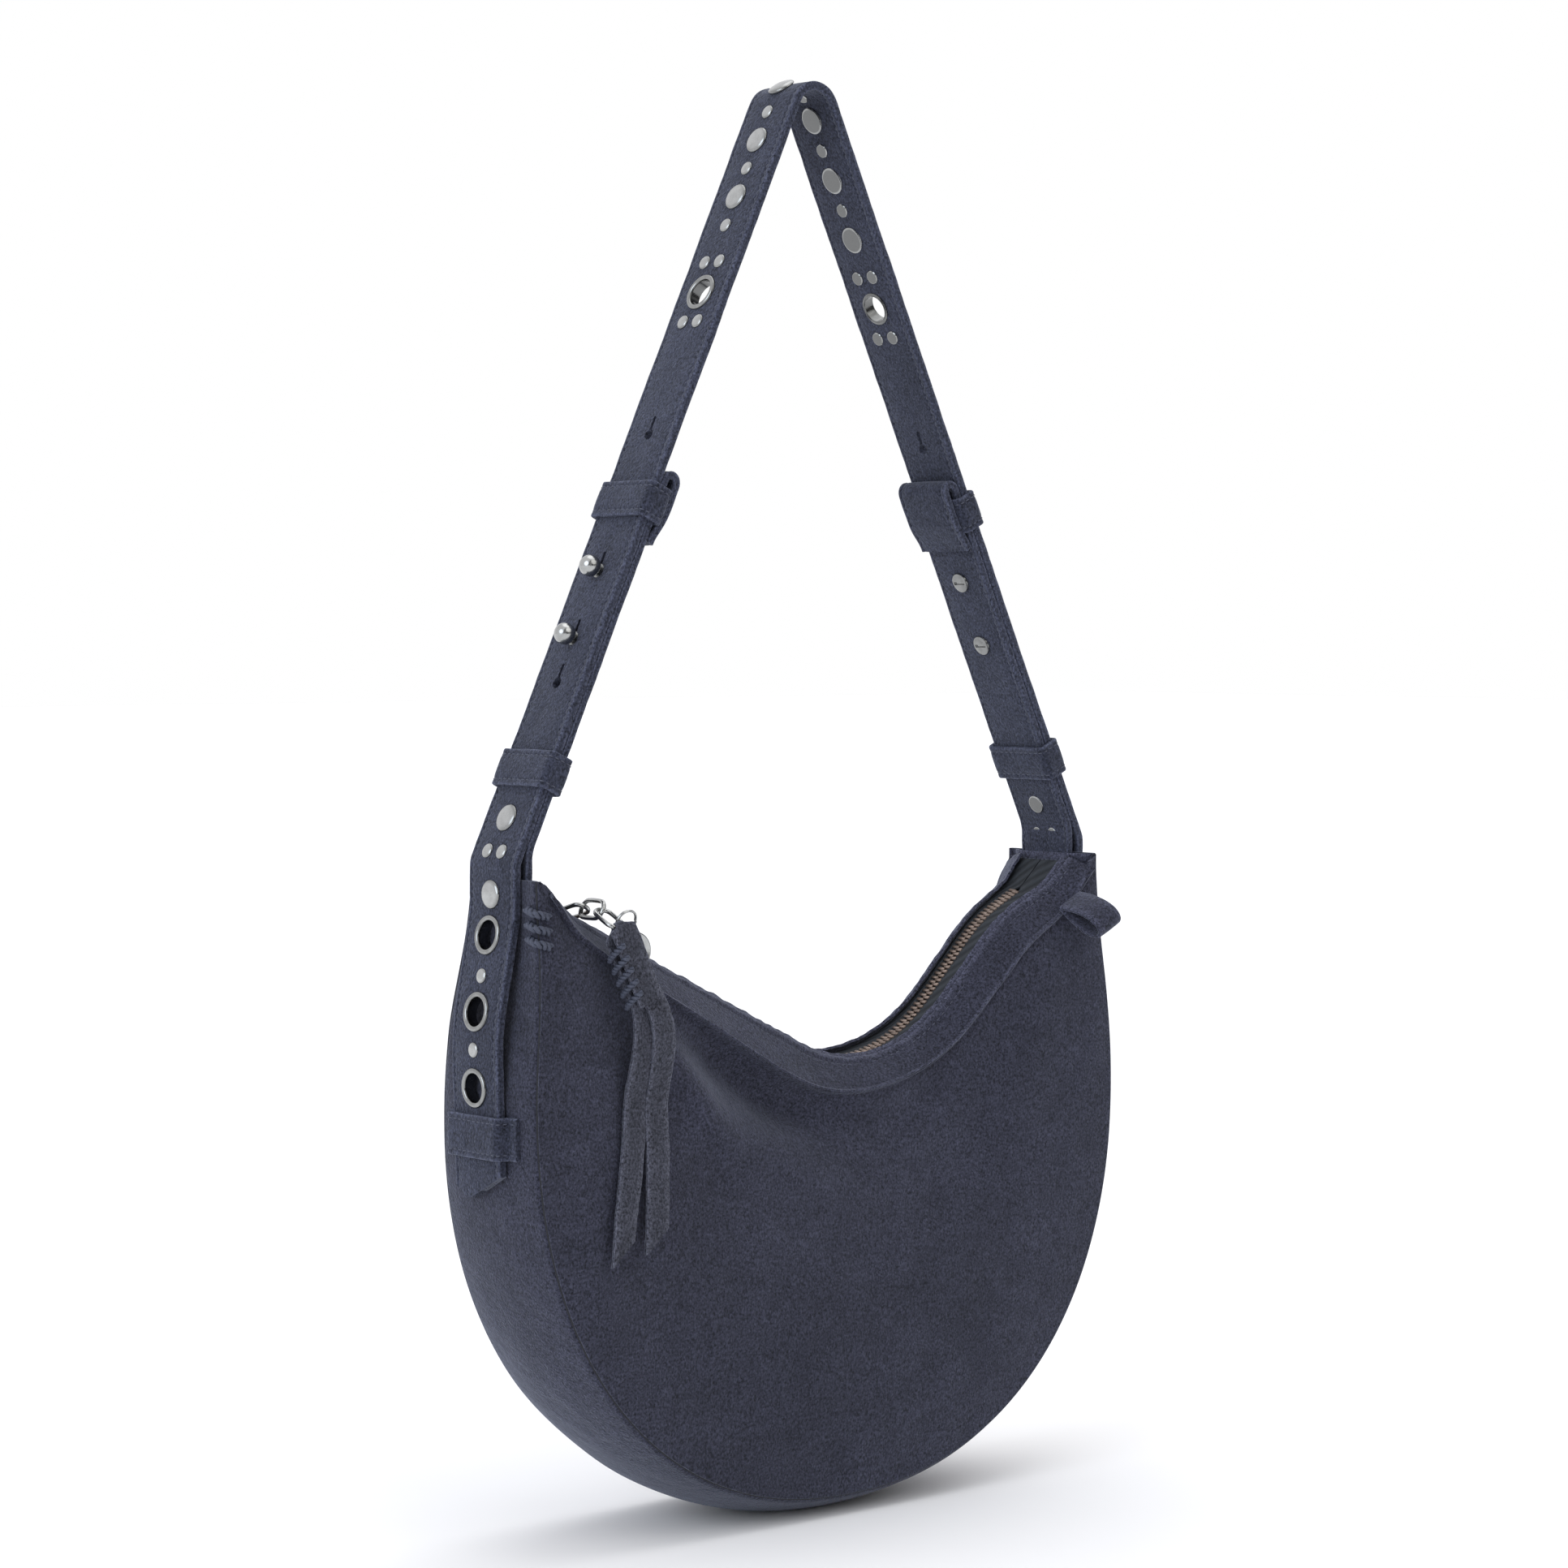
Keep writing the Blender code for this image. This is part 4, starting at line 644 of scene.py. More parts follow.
def repeated(name, shape, frames):
    """One piece made of a copy of the shape at each frame. The shape itself goes."""
    points = np.array([vert.co for vert in shape.data.vertices])
    faces = [list(face.vertices) for face in shape.data.polygons]
    every, all_faces = [], []
    for number, matrix in enumerate(frames):
        turned = np.array(matrix)
        every.append(points @ turned[:3, :3].T + turned[:3, 3])
        all_faces += [[corner + number * len(points) for corner in face] for face in faces]
    mesh = bpy.data.meshes.new(name)
    mesh.from_pydata(np.concatenate(every).tolist(), [], all_faces)
    piece = bpy.data.objects.new(name, mesh)
    bpy.context.collection.objects.link(piece)
    bpy.data.objects.remove(shape, do_unlink=True)
    return smoothed(piece)


def stitch_row(name, spots, lift=0.0001):
    """Stitches at (spot, along, out), each lying along its seam."""
    frames = [frame_at(spot + out * lift, along, out) for spot, along, out in spots]
    return repeated(name, stitch_shape(), frames)


def thread_finish(name, colour):
    """Waxed thread: a shade brighter than the suede, with the twist of its strands."""
    finish = Finish(name, Specular_IOR_Level=0.35)
    place = finish.place()
    strands = finish.noise(place, 1500, 1, 0.5)
    finish.join(Base_Color=finish.tinted(plain(colour)[:3], 0.65 + strands * 0.7))
    finish.join(Normal=finish.bump(strands, 0.0003), Roughness=0.5 + strands * 0.25)
    return finish


NAVY_THREAD = thread_finish("navy_thread", (0.075, 0.082, 0.115))
for side, word in ((-1, "front"), (1, "back")):
    outer, facing = band_place(side, False), band_place(side, True)
    band = thickened(new_sheet(word + "_band_suede", BAND_COLUMNS, 16, outer, edge_wear), BAND_THICK)
    dressed(smoothed(band), NAVY_SUEDE, "suede", "bag", word + "_top_band")
    inner = thickened(new_sheet(word + "_band_facing", BAND_COLUMNS, 10, facing, edge_wear), BAND_THICK)
    dressed(smoothed(inner), NAVY_SUEDE, "suede", "bag")
    count = int(MOUTH.length / STITCH_PITCH)
    spots = [on_sheet(outer, (number + 0.5) / count, BAND_STITCHES_UP) for number in range(2, count - 2)]
    dressed(stitch_row(word + "_band_stitches", spots), NAVY_THREAD, "suede", "bag")
    whole = panel_place(side)
    spots = []
    for number in range(6, count - 6):
        share = (number + 0.5) / count
        target = 1 - RIDGE_STITCHES_IN / panel_run(share)[2]
        before_easing = 0.5 - math.sin(math.asin(1 - 2 * target) / 3)
        spots.append(on_sheet(whole, share if side < 0 else 1 - share, before_easing))
    dressed(stitch_row(word + "_ridge_stitches", spots, lift=0.00025), NAVY_THREAD, "suede", "bag")


# ---- Seam thread ----------------------------------------------------------------------------------------
# The sewn line deep in the corner where a panel meets the gusset: a near-black cord that is partly the seam's
# thread and partly painted shadow in the groove.
SEAM_THREAD_AND_SHADOW = thread_finish("seam_shadow_thread", (0.012, 0.013, 0.018))


def rod(name, points, radius, sides=8, closed=False):
    """A round thread or wire along the points, from a grid rolled into a tube and closed at its ends."""
    line = [Vector(point) for point in points]
    count = len(line)

    def axes(index):
        before = line[(index - 1) % count] if closed else line[max(index - 1, 0)]
        after = line[(index + 1) % count] if closed else line[min(index + 1, count - 1)]
        along = (after - before).normalized()
        across = along.cross(Vector((0.31, 0.87, 0.38))).normalized()
        return across, along.cross(across)

    def place(share, around):
        index = round(share * (count if closed else count - 1)) % count
        across, up = axes(index)
        angle = -2 * math.pi * around
        return line[index] + (across * math.cos(angle) + up * math.sin(angle)) * radius

    return sewn_shut(new_sheet(name, count if closed else count - 1, sides, place))


def sewn_shut(piece):
    """Doubles merged, open ends filled and faces turned outward."""
    chosen(piece)
    bpy.ops.object.mode_set(mode="EDIT")
    bpy.ops.mesh.select_all(action="SELECT")
    bpy.ops.mesh.remove_doubles(threshold=0.00001)
    bpy.ops.mesh.select_all(action="DESELECT")
    bpy.ops.mesh.select_non_manifold(extend=False)
    if has_chosen_edges(piece):
        bpy.ops.mesh.edge_face_add()
    bpy.ops.mesh.select_all(action="SELECT")
    bpy.ops.mesh.normals_make_consistent(inside=False)
    bpy.ops.object.mode_set(mode="OBJECT")
    return piece


def has_chosen_edges(piece):
    piece.update_from_editmode()
    return any(edge.select for edge in piece.data.edges)


for side, word in ((-1, "front"), (1, "back")):
    line = []
    for step in range(241):
        spot = near_seam(step / 240, 0.0010)
        line.append((spot.x, side * (seam_depth(spot.x, spot.y, side) - 0.0013), spot.y))
    dressed(smoothed(rod(word + "_seam_shadow_cord", line, 0.0005, 6)), SEAM_THREAD_AND_SHADOW, "suede", "bag")


# ---- Lining and pocket ----------------------------------------------------------------------------------
# Dark twill, a bag within the bag, with one flat patch pocket sewn to its back side.
LINING_GAP = 0.0034
LINING_THICK = 0.0008
POCKET_GAP = 0.0013


def lining_place(side, low=0.0, high=1.0, left=0.0, right=1.0, more=0.0):
    whole = panel_place(side)

    def place(across, up):
        across = 0.03 + 0.94 * (left + (right - left) * across)
        up = 0.07 + 0.9 * (low + (high - low) * up)
        spot = whole(across, up)
        spot.y -= side * (LINING_GAP + more)
        return spot

    return place


def twill(name, colour, ribs, along=1.0):
    """Plain dark cloth with slanting ribs, drawn along its own UV map."""
    finish = Finish(name, Specular_IOR_Level=0.25)
    across = finish.node("ShaderNodeUVMap")
    lean = finish.node("ShaderNodeMapping", None, {"Vector": across, "Scale": (ribs, ribs * along, 1)})
    settings = {"wave_type": "BANDS", "bands_direction": "DIAGONAL"}
    weave = finish.node("ShaderNodeTexWave", settings, {"Vector": lean, "Scale": 1.0, "Distortion": 0.6})
    grain = finish.noise(finish.place(), 900, 2)
    finish.join(Base_Color=finish.tinted(plain(colour)[:3], 0.55 + weave * 0.6 + grain * 0.3))
    finish.join(Normal=finish.bump(weave + grain * 0.4, 0.00025), Roughness=0.8 + grain * 0.15)
    return finish


LINING_TWILL = twill("lining_twill", (0.022, 0.024, 0.03), 80)
for side, word in ((-1, "front"), (1, "back")):
    lining = thickened(new_sheet("lining_" + word + "_cloth", 90, 30, lining_place(side)), LINING_THICK)
    dressed(smoothed(lining), LINING_TWILL, "cloth", "bag", "lining_" + word)
pocket = new_sheet("slip_pocket_cloth", 40, 14, lining_place(1, 0.32, 0.62, 0.3, 0.7, POCKET_GAP))
dressed(smoothed(thickened(pocket, LINING_THICK)), LINING_TWILL, "cloth", "bag", "slip_pocket")


def lining_gusset_place(along, across):
    along = 0.06 + 0.88 * along
    spot = near_seam(along, 0.0040 - gusset_bulge(SEAM.at(along).y) * (1 - (2 * across - 1) ** 2))
    half = seam_depth(spot.x, spot.y, 1 if across < 0.5 else -1) - 0.006
    return Vector((spot.x, half * (1 - 2 * across), max(spot.y, 0.0028)))


lining = new_sheet("lining_gusset_cloth", 120, 10, lining_gusset_place)
dressed(smoothed(thickened(lining, LINING_THICK)), LINING_TWILL, "cloth", "bag", "lining_gusset")


# ---- Zip ------------------------------------------------------------------------------------------------
# A closed metal zip: two ribbed cloth tapes sewn under the facings, and two rows of dark bronze teeth that
# lock into one chain, 2.5 mm from tooth to tooth on each side.
TAPE_DROP = 0.0033
TAPE_THICK = 0.0007
TEETH_DROP = TAPE_DROP + 0.0004
TOOTH_PITCH = 0.0025
ZIP_END = 0.945
SLIDER_PAST_KNEE = 0.004
KNEE = Vector(MOUTH_CORNERS[1])
RUN_WAY = (Vector(MOUTH_CORNERS[2]) - KNEE).normalized()
KNEE_TURN = RUN_WAY.angle(KNEE - Vector(MOUTH_CORNERS[0]))
RUN_START = KNEE + RUN_WAY * MOUTH_ROUNDINGS[0] * math.tan(KNEE_TURN / 2)
ZIP_START = MOUTH.share_at(RUN_START.x, 0)
ZIP_TAPE = twill("zip_tape_cloth", (0.028, 0.032, 0.038), 26, 0.06)


def tape_place(side):
    def place(along, across):
        share = 0.004 + 0.994 * along
        outer = mouth_gap(share, side) + BAND_LEAN * TAPE_DROP / band_drop(share) - 0.0024
        across = across if side < 0 else 1 - across
        before_end = min(max((ZIP_END + 0.004 - share) / 0.008, 0), 1)
        past_start = min(max((share - ZIP_START + 0.012) / 0.008, 0), 1)
        inner = 0.0003 + 0.0018 * (before_end * past_start)
        y = outer + (inner - outer) * across
        bead = 0.0004 * max(1 - abs(y - 0.0045) / 0.0009, 0)
        return near_mouth(share, TAPE_DROP - bead, side * y)

    return place


for side, word in ((-1, "front"), (1, "back")):
    tape = thickened(new_sheet("zip_tape_" + word + "_cloth", 200, 14, tape_place(side)), TAPE_THICK)
    dressed(smoothed(tape), ZIP_TAPE, "cloth", "bag", "zip_tape_" + word)


def metal(name, colour, roughness, wear, tarnish_and_shade, patches=0.6):
    """Plated metal: softly brushed, darker in random tarnish patches and where painted shade is marked on its
    parts, with fine scratches.
    """
    finish = Finish(name, Metallic=1.0)
    place = finish.place()
    cloud = finish.noise(place, 260, 3, 0.6).between(0.35, 0.75)
    scratch = finish.noise(place, 2200, 2, 0.5, stretch=(1, 0.15, 1))
    dull = tuple(part * tarnish_and_shade for part in colour)
    # The marked darkening is painted shade on rims, backs and lower sides of spun parts; only the cloud
    # patches are tarnish.
    painted_shade = finish.node("ShaderNodeAttribute", {"attribute_name": "painted_shade"}, None, out="Fac")
    darker = painted_shade.maths("ADD", cloud * patches, painted_shade, clamp=True)
    finish.join(Base_Color=finish.mix(darker, plain(colour), plain(dull)))
    finish.join(Roughness=roughness + cloud * wear + scratch * 0.08)
    finish.join(Normal=finish.bump(scratch, 0.00004, 0.5))
    return finish


BRONZE = metal("dark_bronze", (0.30, 0.235, 0.20), 0.38, 0.2, 0.35)


def bevelled_box(size, bevel, segments=1):
    nothing_chosen()
    bpy.ops.mesh.primitive_cube_add(size=1)
    box = bpy.context.object
    box.scale = size
    settled(box)
    bpy.ops.object.mode_set(mode="EDIT")
    bpy.ops.mesh.select_all(action="SELECT")
    bpy.ops.mesh.bevel(offset=bevel, segments=segments, affect="EDGES")
    bpy.ops.object.mode_set(mode="OBJECT")
    return box


def tooth():
    """A tooth, local X along the zip and local Y out to its tape: wide at its root, waisted, round-headed."""
    shape = bevelled_box((0.00125, 0.0040, 0.0024), 0.0003)
    for vert in shape.data.vertices:
        vert.co.y += 0.0014
        if vert.co.y > 0.0022:
            vert.co.x *= 1.25
        if vert.co.y < 0:
            vert.co.z *= 0.8
    return shape


for side, word in ((-1, "front"), (1, "back")):
    frames = []
    run = (ZIP_END - ZIP_START) * MOUTH.length
    for number in range(int(run / TOOTH_PITCH)):
        share = ZIP_START + (number + (0.25 if side < 0 else 0.75)) * TOOTH_PITCH / MOUTH.length
        along = MOUTH.direction(share)
        up = Vector((-along.y, 0, along.x))
        spot = near_mouth(share, TEETH_DROP, 0)
        frames.append(frame_at(spot, (along.x * side, 0, along.y * side), up))
    row = repeated("zip_teeth_" + word + "_metal", tooth(), frames)
    dressed(row, BRONZE, "bronze", "bag", "zip_teeth_" + word)


def shield(width, length, thick):
    """A slider plate seen from above: broad at its mouth, narrow at its tail, with rolled edges."""
    plate = bevelled_box((width, thick, length), thick * 0.42, 3)
    for vert in plate.data.vertices:
        share = vert.co.z / length + 0.5
        vert.co.x *= 1 - 0.32 * share**1.5
    return plate


RUN = Vector((RUN_WAY.x, 0, RUN_WAY.y))
OVER = Vector((-RUN_WAY.y, 0, RUN_WAY.x))
SLIDER_SPOT = Vector((RUN_START.x, 0, RUN_START.y)) + RUN * SLIDER_PAST_KNEE
SLIDER_SPOT -= OVER * TEETH_DROP
SLIDER_AT = frame_at(SLIDER_SPOT, (0, 1, 0), RUN)
PLATE_TOP = 0.0028


def joined(name, pieces):
    nothing_chosen()
    for piece in pieces:
        piece.select_set(True)
    bpy.context.view_layer.objects.active = pieces[0]
    bpy.ops.object.join()
    whole = bpy.context.object
    whole.name = whole.data.name = name
    return whole


upper_plate, lower_plate = shield(0.009, 0.010, 0.0012), shield(0.009, 0.010, 0.0012)
upper_plate.data.transform(Matrix.Translation((0, 0.0022, 0)))
lower_plate.data.transform(Matrix.Translation((0, -0.0022, 0)))
neck = bevelled_box((0.0009, 0.0036, 0.006), 0.0002)
arch = [(0, PLATE_TOP - 0.0006, 0.0032)]
for step in range(13):
    angle = math.pi * step / 12
    arch.append((0, PLATE_TOP + 0.0014 + 0.0021 * math.sin(angle) ** 0.8, 0.0032 * math.cos(angle)))
arch.append((0, PLATE_TOP - 0.0006, -0.0032))
bail = rod("bail", arch, 0.0007, 10)
for vert in bail.data.vertices:
    vert.co.x *= 1.6
slider = joined("slider_metal", [upper_plate, lower_plate, neck, bail])
slider.data.transform(SLIDER_AT)
dressed(smoothed(slider, 40), BRONZE, "bronze", "slider", "zip_slider")


# ---- Pull chain -----------------------------------------------------------------------------------------
# Three oval links of bent nickel wire hang from the slider, a split ring from the last of them, and a plain
# round disc from the ring. Each link hooks through the one before it.
LINK_LENGTH = 0.014
LINK_WIDTH = 0.0076
LINK_WIRE = 0.0019
LINK_CLEARANCE = 0.0003
INSIDE = LINK_WIRE + LINK_CLEARANCE
FALL_ANGLE = math.radians(26)
NICKEL = metal("antique_nickel", (0.45, 0.457, 0.45), 0.14, 0.10, 0.36, 0.25)
LEFTWARD = Vector((0, -1, 0))
SIDEWAYS = Vector((1, 0, 0))


def oval_link(name, near, length_way, face_way):
    nothing_chosen()
    ring_radius = LINK_WIDTH / 2
    bpy.ops.mesh.primitive_torus_add(
        major_segments=40, minor_segments=14, major_radius=ring_radius, minor_radius=LINK_WIRE / 2
    )
    link = bpy.context.object
    link.name = link.data.name = name
    stretch = (LINK_LENGTH - LINK_WIDTH) / 2
    for vert in link.data.vertices:
        vert.co.x += LINK_LENGTH / 2 + stretch * max(min(vert.co.x / ring_radius * 3, 1), -1)
    link.data.transform(frame_at(near, length_way, face_way))
    return smoothed(link)


hook = SLIDER_SPOT + OVER * (PLATE_TOP + 0.0030 - LINK_WIRE / 2 - LINK_CLEARANCE)
REACH = (LEFTWARD * math.cos(math.radians(20)) + OVER * math.sin(math.radians(20))).normalized()
link = oval_link("pull_link_metal", hook, REACH, REACH.cross(RUN))
dressed(link, NICKEL, "nickel", "pull_link", "pull_link")
second_near = hook + REACH * (LINK_LENGTH - INSIDE)
link = oval_link("chain_link_upper_metal", second_near, LEFTWARD, RUN)
dressed(link, NICKEL, "nickel", "chain_link_upper", "chain_link_upper")
third_near = second_near + LEFTWARD * (LINK_LENGTH - INSIDE)
FALL = Vector((0, -math.cos(FALL_ANGLE), -math.sin(FALL_ANGLE)))
link = oval_link("chain_link_lower_metal", third_near, FALL, FALL.cross(SIDEWAYS))
dressed(link, NICKEL, "nickel", "chain_link_lower", "chain_link_lower")
HANG = third_near + FALL * LINK_LENGTH

RING_RADIUS = 0.0046
RING_WIRE = 0.0012
ring_middle = third_near + FALL * (LINK_LENGTH * 0.7) + SIDEWAYS * (LINK_WIDTH / 2)
ring_middle += SIDEWAYS * (RING_RADIUS - (LINK_WIRE + RING_WIRE) / 2 - LINK_CLEARANCE)
coil = []
for step in range(97):
    angle = 4 * math.pi * step / 96
    climb = RING_WIRE * (step / 96 - 0.5) * 0.72
    coil.append((RING_RADIUS * math.cos(angle), RING_RADIUS * math.sin(angle), climb))
split_ring = rod("split_ring_metal", coil, RING_WIRE * 0.4, 10)
split_ring.data.transform(frame_at(ring_middle, SIDEWAYS, FALL))
dressed(smoothed(split_ring), NICKEL, "nickel", "split_ring", "split_ring")

CHARM_RADIUS = 0.0077
CHARM_THICK = 0.0012
CHARM_LOOP = 0.0021
down = Vector((0, 0, -1))
down = (down - FALL * FALL.dot(down)).normalized()
side_turn = math.radians(48)
ring_low = ring_middle + (down * math.cos(side_turn) + SIDEWAYS * math.sin(side_turn)) * RING_RADIUS
tangent = SIDEWAYS * math.cos(side_turn) - down * math.sin(side_turn)
DROOP = Vector((tangent.z, 0, -tangent.x)).normalized()
loop_middle = ring_low + DROOP * (CHARM_LOOP - 0.0013)
disc_middle = loop_middle + DROOP * CHARM_LOOP - Vector((0, 0, CHARM_RADIUS - 0.00025))


def spun(name, outline, steps=40):
    """A closed outline of (radius, height) spun round local Z."""
    nothing_chosen()
    bpy.ops.mesh.primitive_circle_add(vertices=len(outline), radius=1)
    piece = bpy.context.object
    piece.name = piece.data.name = name
    for vert, (radius, height) in zip(piece.data.vertices, outline):
        vert.co = (radius, 0, height)
    bpy.ops.object.mode_set(mode="EDIT")
    bpy.ops.mesh.select_all(action="SELECT")
    bpy.ops.mesh.spin(steps=steps, angle=2 * math.pi, center=(0, 0, 0), axis=(0, 0, 1))
    bpy.ops.mesh.select_all(action="SELECT")
    bpy.ops.mesh.remove_doubles(threshold=0.000003)
    bpy.ops.mesh.dissolve_degenerate(threshold=0.000001)
    bpy.ops.mesh.select_all(action="SELECT")
    bpy.ops.mesh.normals_make_consistent(inside=False)
    bpy.ops.object.mode_set(mode="OBJECT")
    return smoothed(piece, 50)


def mirrored_down(half):
    """A face profile from its middle to its rim, closed by the same profile underneath."""
    return half + [(radius, -height) for radius, height in reversed(half)]


half = CHARM_THICK / 2
face = [(0, half * 0.72), (CHARM_RADIUS - 0.0011, half * 0.72), (CHARM_RADIUS - 0.0008, half * 0.95)]
face += [(CHARM_RADIUS - 0.0004, half), (CHARM_RADIUS - 0.0001, half * 0.8), (CHARM_RADIUS, half * 0.4)]
disc = spun("disc", mirrored_down(face), 48)
disc.data.transform(frame_at(disc_middle, (1, 0, 0), (0, 1, 0)))
loop_turns = [step * math.pi / 12 for step in range(24)]
loop_line = [(CHARM_LOOP * math.cos(turn), CHARM_LOOP * math.sin(turn), 0) for turn in loop_turns]
loop = rod("loop", loop_line, 0.0005, 8, closed=True)
loop.data.transform(frame_at(loop_middle, DROOP, tangent))
charm = joined("charm_disc_metal", [disc, smoothed(loop)])
dressed(charm, NICKEL, "nickel", "charm", "charm_disc")


# ---- Tassel ---------------------------------------------------------------------------------------------
# A strip of suede folded over the last link, with two long strips held between its layers, and thick thread
# whipped over its left edge. The long strips hang free and are cut slanting.
HEAD_WIDTH = 0.0125
HEAD_HEIGHT = 0.034
TONGUE = 0.29
TAIL_WIDTH = 0.0112
TAIL_THICK = 0.0018
TAIL_SLANT = 0.9
TILT = math.radians(8)
SIDE_LEAN = math.radians(19)
LEAN_WAY = Vector((math.tan(SIDE_LEAN), -math.sin(TILT), -math.cos(TILT))).normalized()
FORWARD = Vector((0, -math.cos(TILT), math.sin(TILT)))
ACROSS = FORWARD.cross(LEAN_WAY).normalized()
TASSEL_SUEDE = suede("tassel_suede", (0.045, 0.047, 0.063))


def ring_of(width, thick, groove=None):
    """A strip's cross-section as (across, out, worn): round edges, and a dip where stitches pull it in."""
    half, round_off = width / 2, min(thick * 0.3, 0.0005)
    face = [(-half, -round_off, 0.9), (-half + round_off * 0.35, -round_off * 0.3, 1)]
    face.append((-half + round_off, 0, 0.6))
    if groove:
        for shift, dip in ((-0.0011, 0), (-0.0004, -0.00012), (0, -0.0003), (0.0004, -0.00012), (0.0012, 0)):
            face.append((-half + groove + shift, dip, 0))
    face += [(-half * 0.45, 0.0001, 0), (0, 0.00015, 0)]
    face += [(-across, out, wear_and_highlight) for across, out, wear_and_highlight in reversed(face[:-1])]
    back = [(across, -thick - out, wear_and_highlight * 0.7) for across, out, wear_and_highlight in reversed(face)]
    crease = [(half - round_off * 0.5, -thick / 2, 0)]
    return face + crease + back + [(-half + round_off * 0.5, -thick / 2, 0)]


class Strip:
    """A flat strip whose outer face follows the points; widthways is the direction across it."""

    def __init__(self, points, widthways, width, thick):
        self.path = Path(points)
        self.widthways = Vector(widthways).normalized()
        self.width, self.thick, self.out_sign = width, thick, 1

    def at(self, distance):
        share = min(max(distance / self.path.length, 0), 1)
        along = self.path.direction(share)
        return self.path.at(share), along, along.cross(self.widthways).normalized() * self.out_sign

    def piece(self, name, step, groove=None, waver=0.0, closed=False, width_at=None):
        ring = ring_of(self.width, self.thick, groove)
        count = max(int(self.path.length / step), 3)

        def place(share, around):
            across, out, _ = ring[round(around * len(ring)) % len(ring)]
            share = 0 if closed and share > 0.999999 else share
            spot, along, outward = self.at(share * self.path.length)
            if width_at:
                across *= width_at(share * self.path.length)
            if waver:
                out += waver * uneven(*(spot + self.widthways * across), 0.021)
                across += waver * 0.8 * uneven(*spot, 0.017)
                if abs(across) > self.width * 0.47:
                    across += math.copysign(waver, across) * uneven(*(spot + self.widthways * across), 0.0045)
            return spot + self.widthways * across + outward * out

        def wear(share, around):
            return ring[round(around * len(ring)) % len(ring)][2]

        return sewn_shut(new_sheet(name, count, len(ring), place, wear))

    def stitches(self, across, start, end, pitch=STITCH_PITCH, inner=False):
        """Spots for a row of stitches at this distance from the strip's middle line."""
        count = max(int((end - start) / pitch), 1)
        spots = []
        for number in range(count):
            spot, along, outward = self.at(start + (number + 0.5) * (end - start) / count)
            face = -self.thick if inner else 0
            spot = spot + self.widthways * across + outward * face
            spots.append((spot, along, outward * (-1 if inner else 1)))
        return spots

    def edge_stitches(self, inset, start, end, **options):
        """A row along each edge, this far in from it."""
        edge = self.width / 2 - inset
        return self.stitches(-edge, start, end, **options) + self.stitches(edge, start, end, **options)


def tassel_place(across, out, low):
    """Across, forward of and below the hang point, along the tassel head's own lean."""
    return HANG + ACROSS * across + FORWARD * out + LEAN_WAY * low


head_line = []
for low in (HEAD_HEIGHT - 0.0015, 0.026, 0.018, 0.010, 0.006):
    head_line.append((0.0039 - 0.0004 * math.sin(low * 90), low))
for step in range(9):
    angle = math.pi * step / 8
    head_line.append((0.0029 * math.cos(angle), 0.0004 - 0.0026 * math.sin(angle)))
for low in (0.006, 0.010, 0.018, 0.026, HEAD_HEIGHT - 0.003):
    head_line.append((-0.0039 + 0.0004 * math.sin(low * 90), low))
smooth_line = []
for (first_out, first_low), (next_out, next_low) in zip(head_line, head_line[1:]):
    for part in range(4):
        share = part / 4
        out = first_out + (next_out - first_out) * share
        smooth_line.append(tassel_place(0, out, first_low + (next_low - first_low) * share))
smooth_line.append(tassel_place(0, *head_line[-1]))
head = Strip(smooth_line, ACROSS, HEAD_WIDTH, 0.0016)
middle_run = head.path.length / 2


def fold_width(distance):
    """Only a narrow tongue goes through the link: the front keeps its width up to the fold."""
    past = distance - middle_run
    wide = (-past - 0.0012) / 0.0024 if past < 0 else (past - 0.0045) / 0.004
    return TONGUE + (1 - TONGUE) * eased(wide)


def facing_front(strip, toward):
    """Turns the strip over if its outer face looks the wrong way."""
    if strip.at(0)[2].dot(Vector(toward)) < 0:
        strip.out_sign = -strip.out_sign
    return strip


facing_front(head, (0, -1, 0))
head_piece = smoothed(head.piece("tassel_head_suede", 0.0007, waver=0.0002, width_at=fold_width), 50)
dressed(head_piece, TASSEL_SUEDE, "suede", "tassel", "tassel_head")

# centre lines as (x, z), from between the head's layers down to the cut end
LEFT_TAIL = ((-0.1155, 0.2350), (-0.1100, 0.2195), (-0.1088, 0.2100), (-0.1102, 0.1916))
LEFT_TAIL += ((-0.1115, 0.1690), (-0.1192, 0.1352), (-0.1209, 0.1215))
RIGHT_TAIL = ((-0.1125, 0.2350), (-0.1048, 0.2195), (-0.1008, 0.2086), (-0.1006, 0.1916))
RIGHT_TAIL += ((-0.1010, 0.1634), (-0.1040, 0.1352), (-0.1048, 0.1250))
LEAVES_HEAD_Z = 0.2195
front_points = np.array([vert.co for vert in bpy.data.objects["front_panel_suede"].data.vertices])
front_points = front_points[(front_points[:, 0] < 0.04) & (front_points[:, 2] > 0.05)]
ZIP_TRAVEL = 0.115


def on_front(x, z):
    """How far forward the front panel's face stands near this spot, and near it all the way along the zip."""
    reach = [-0.03]
    for part in range(6):
        along_zip = RUN_WAY * ZIP_TRAVEL * part / 5
        near = np.hypot(front_points[:, 0] - x - along_zip.x, front_points[:, 2] - z - along_zip.y) < 0.007
        reach += list(front_points[near, 1])
    return float(min(reach))


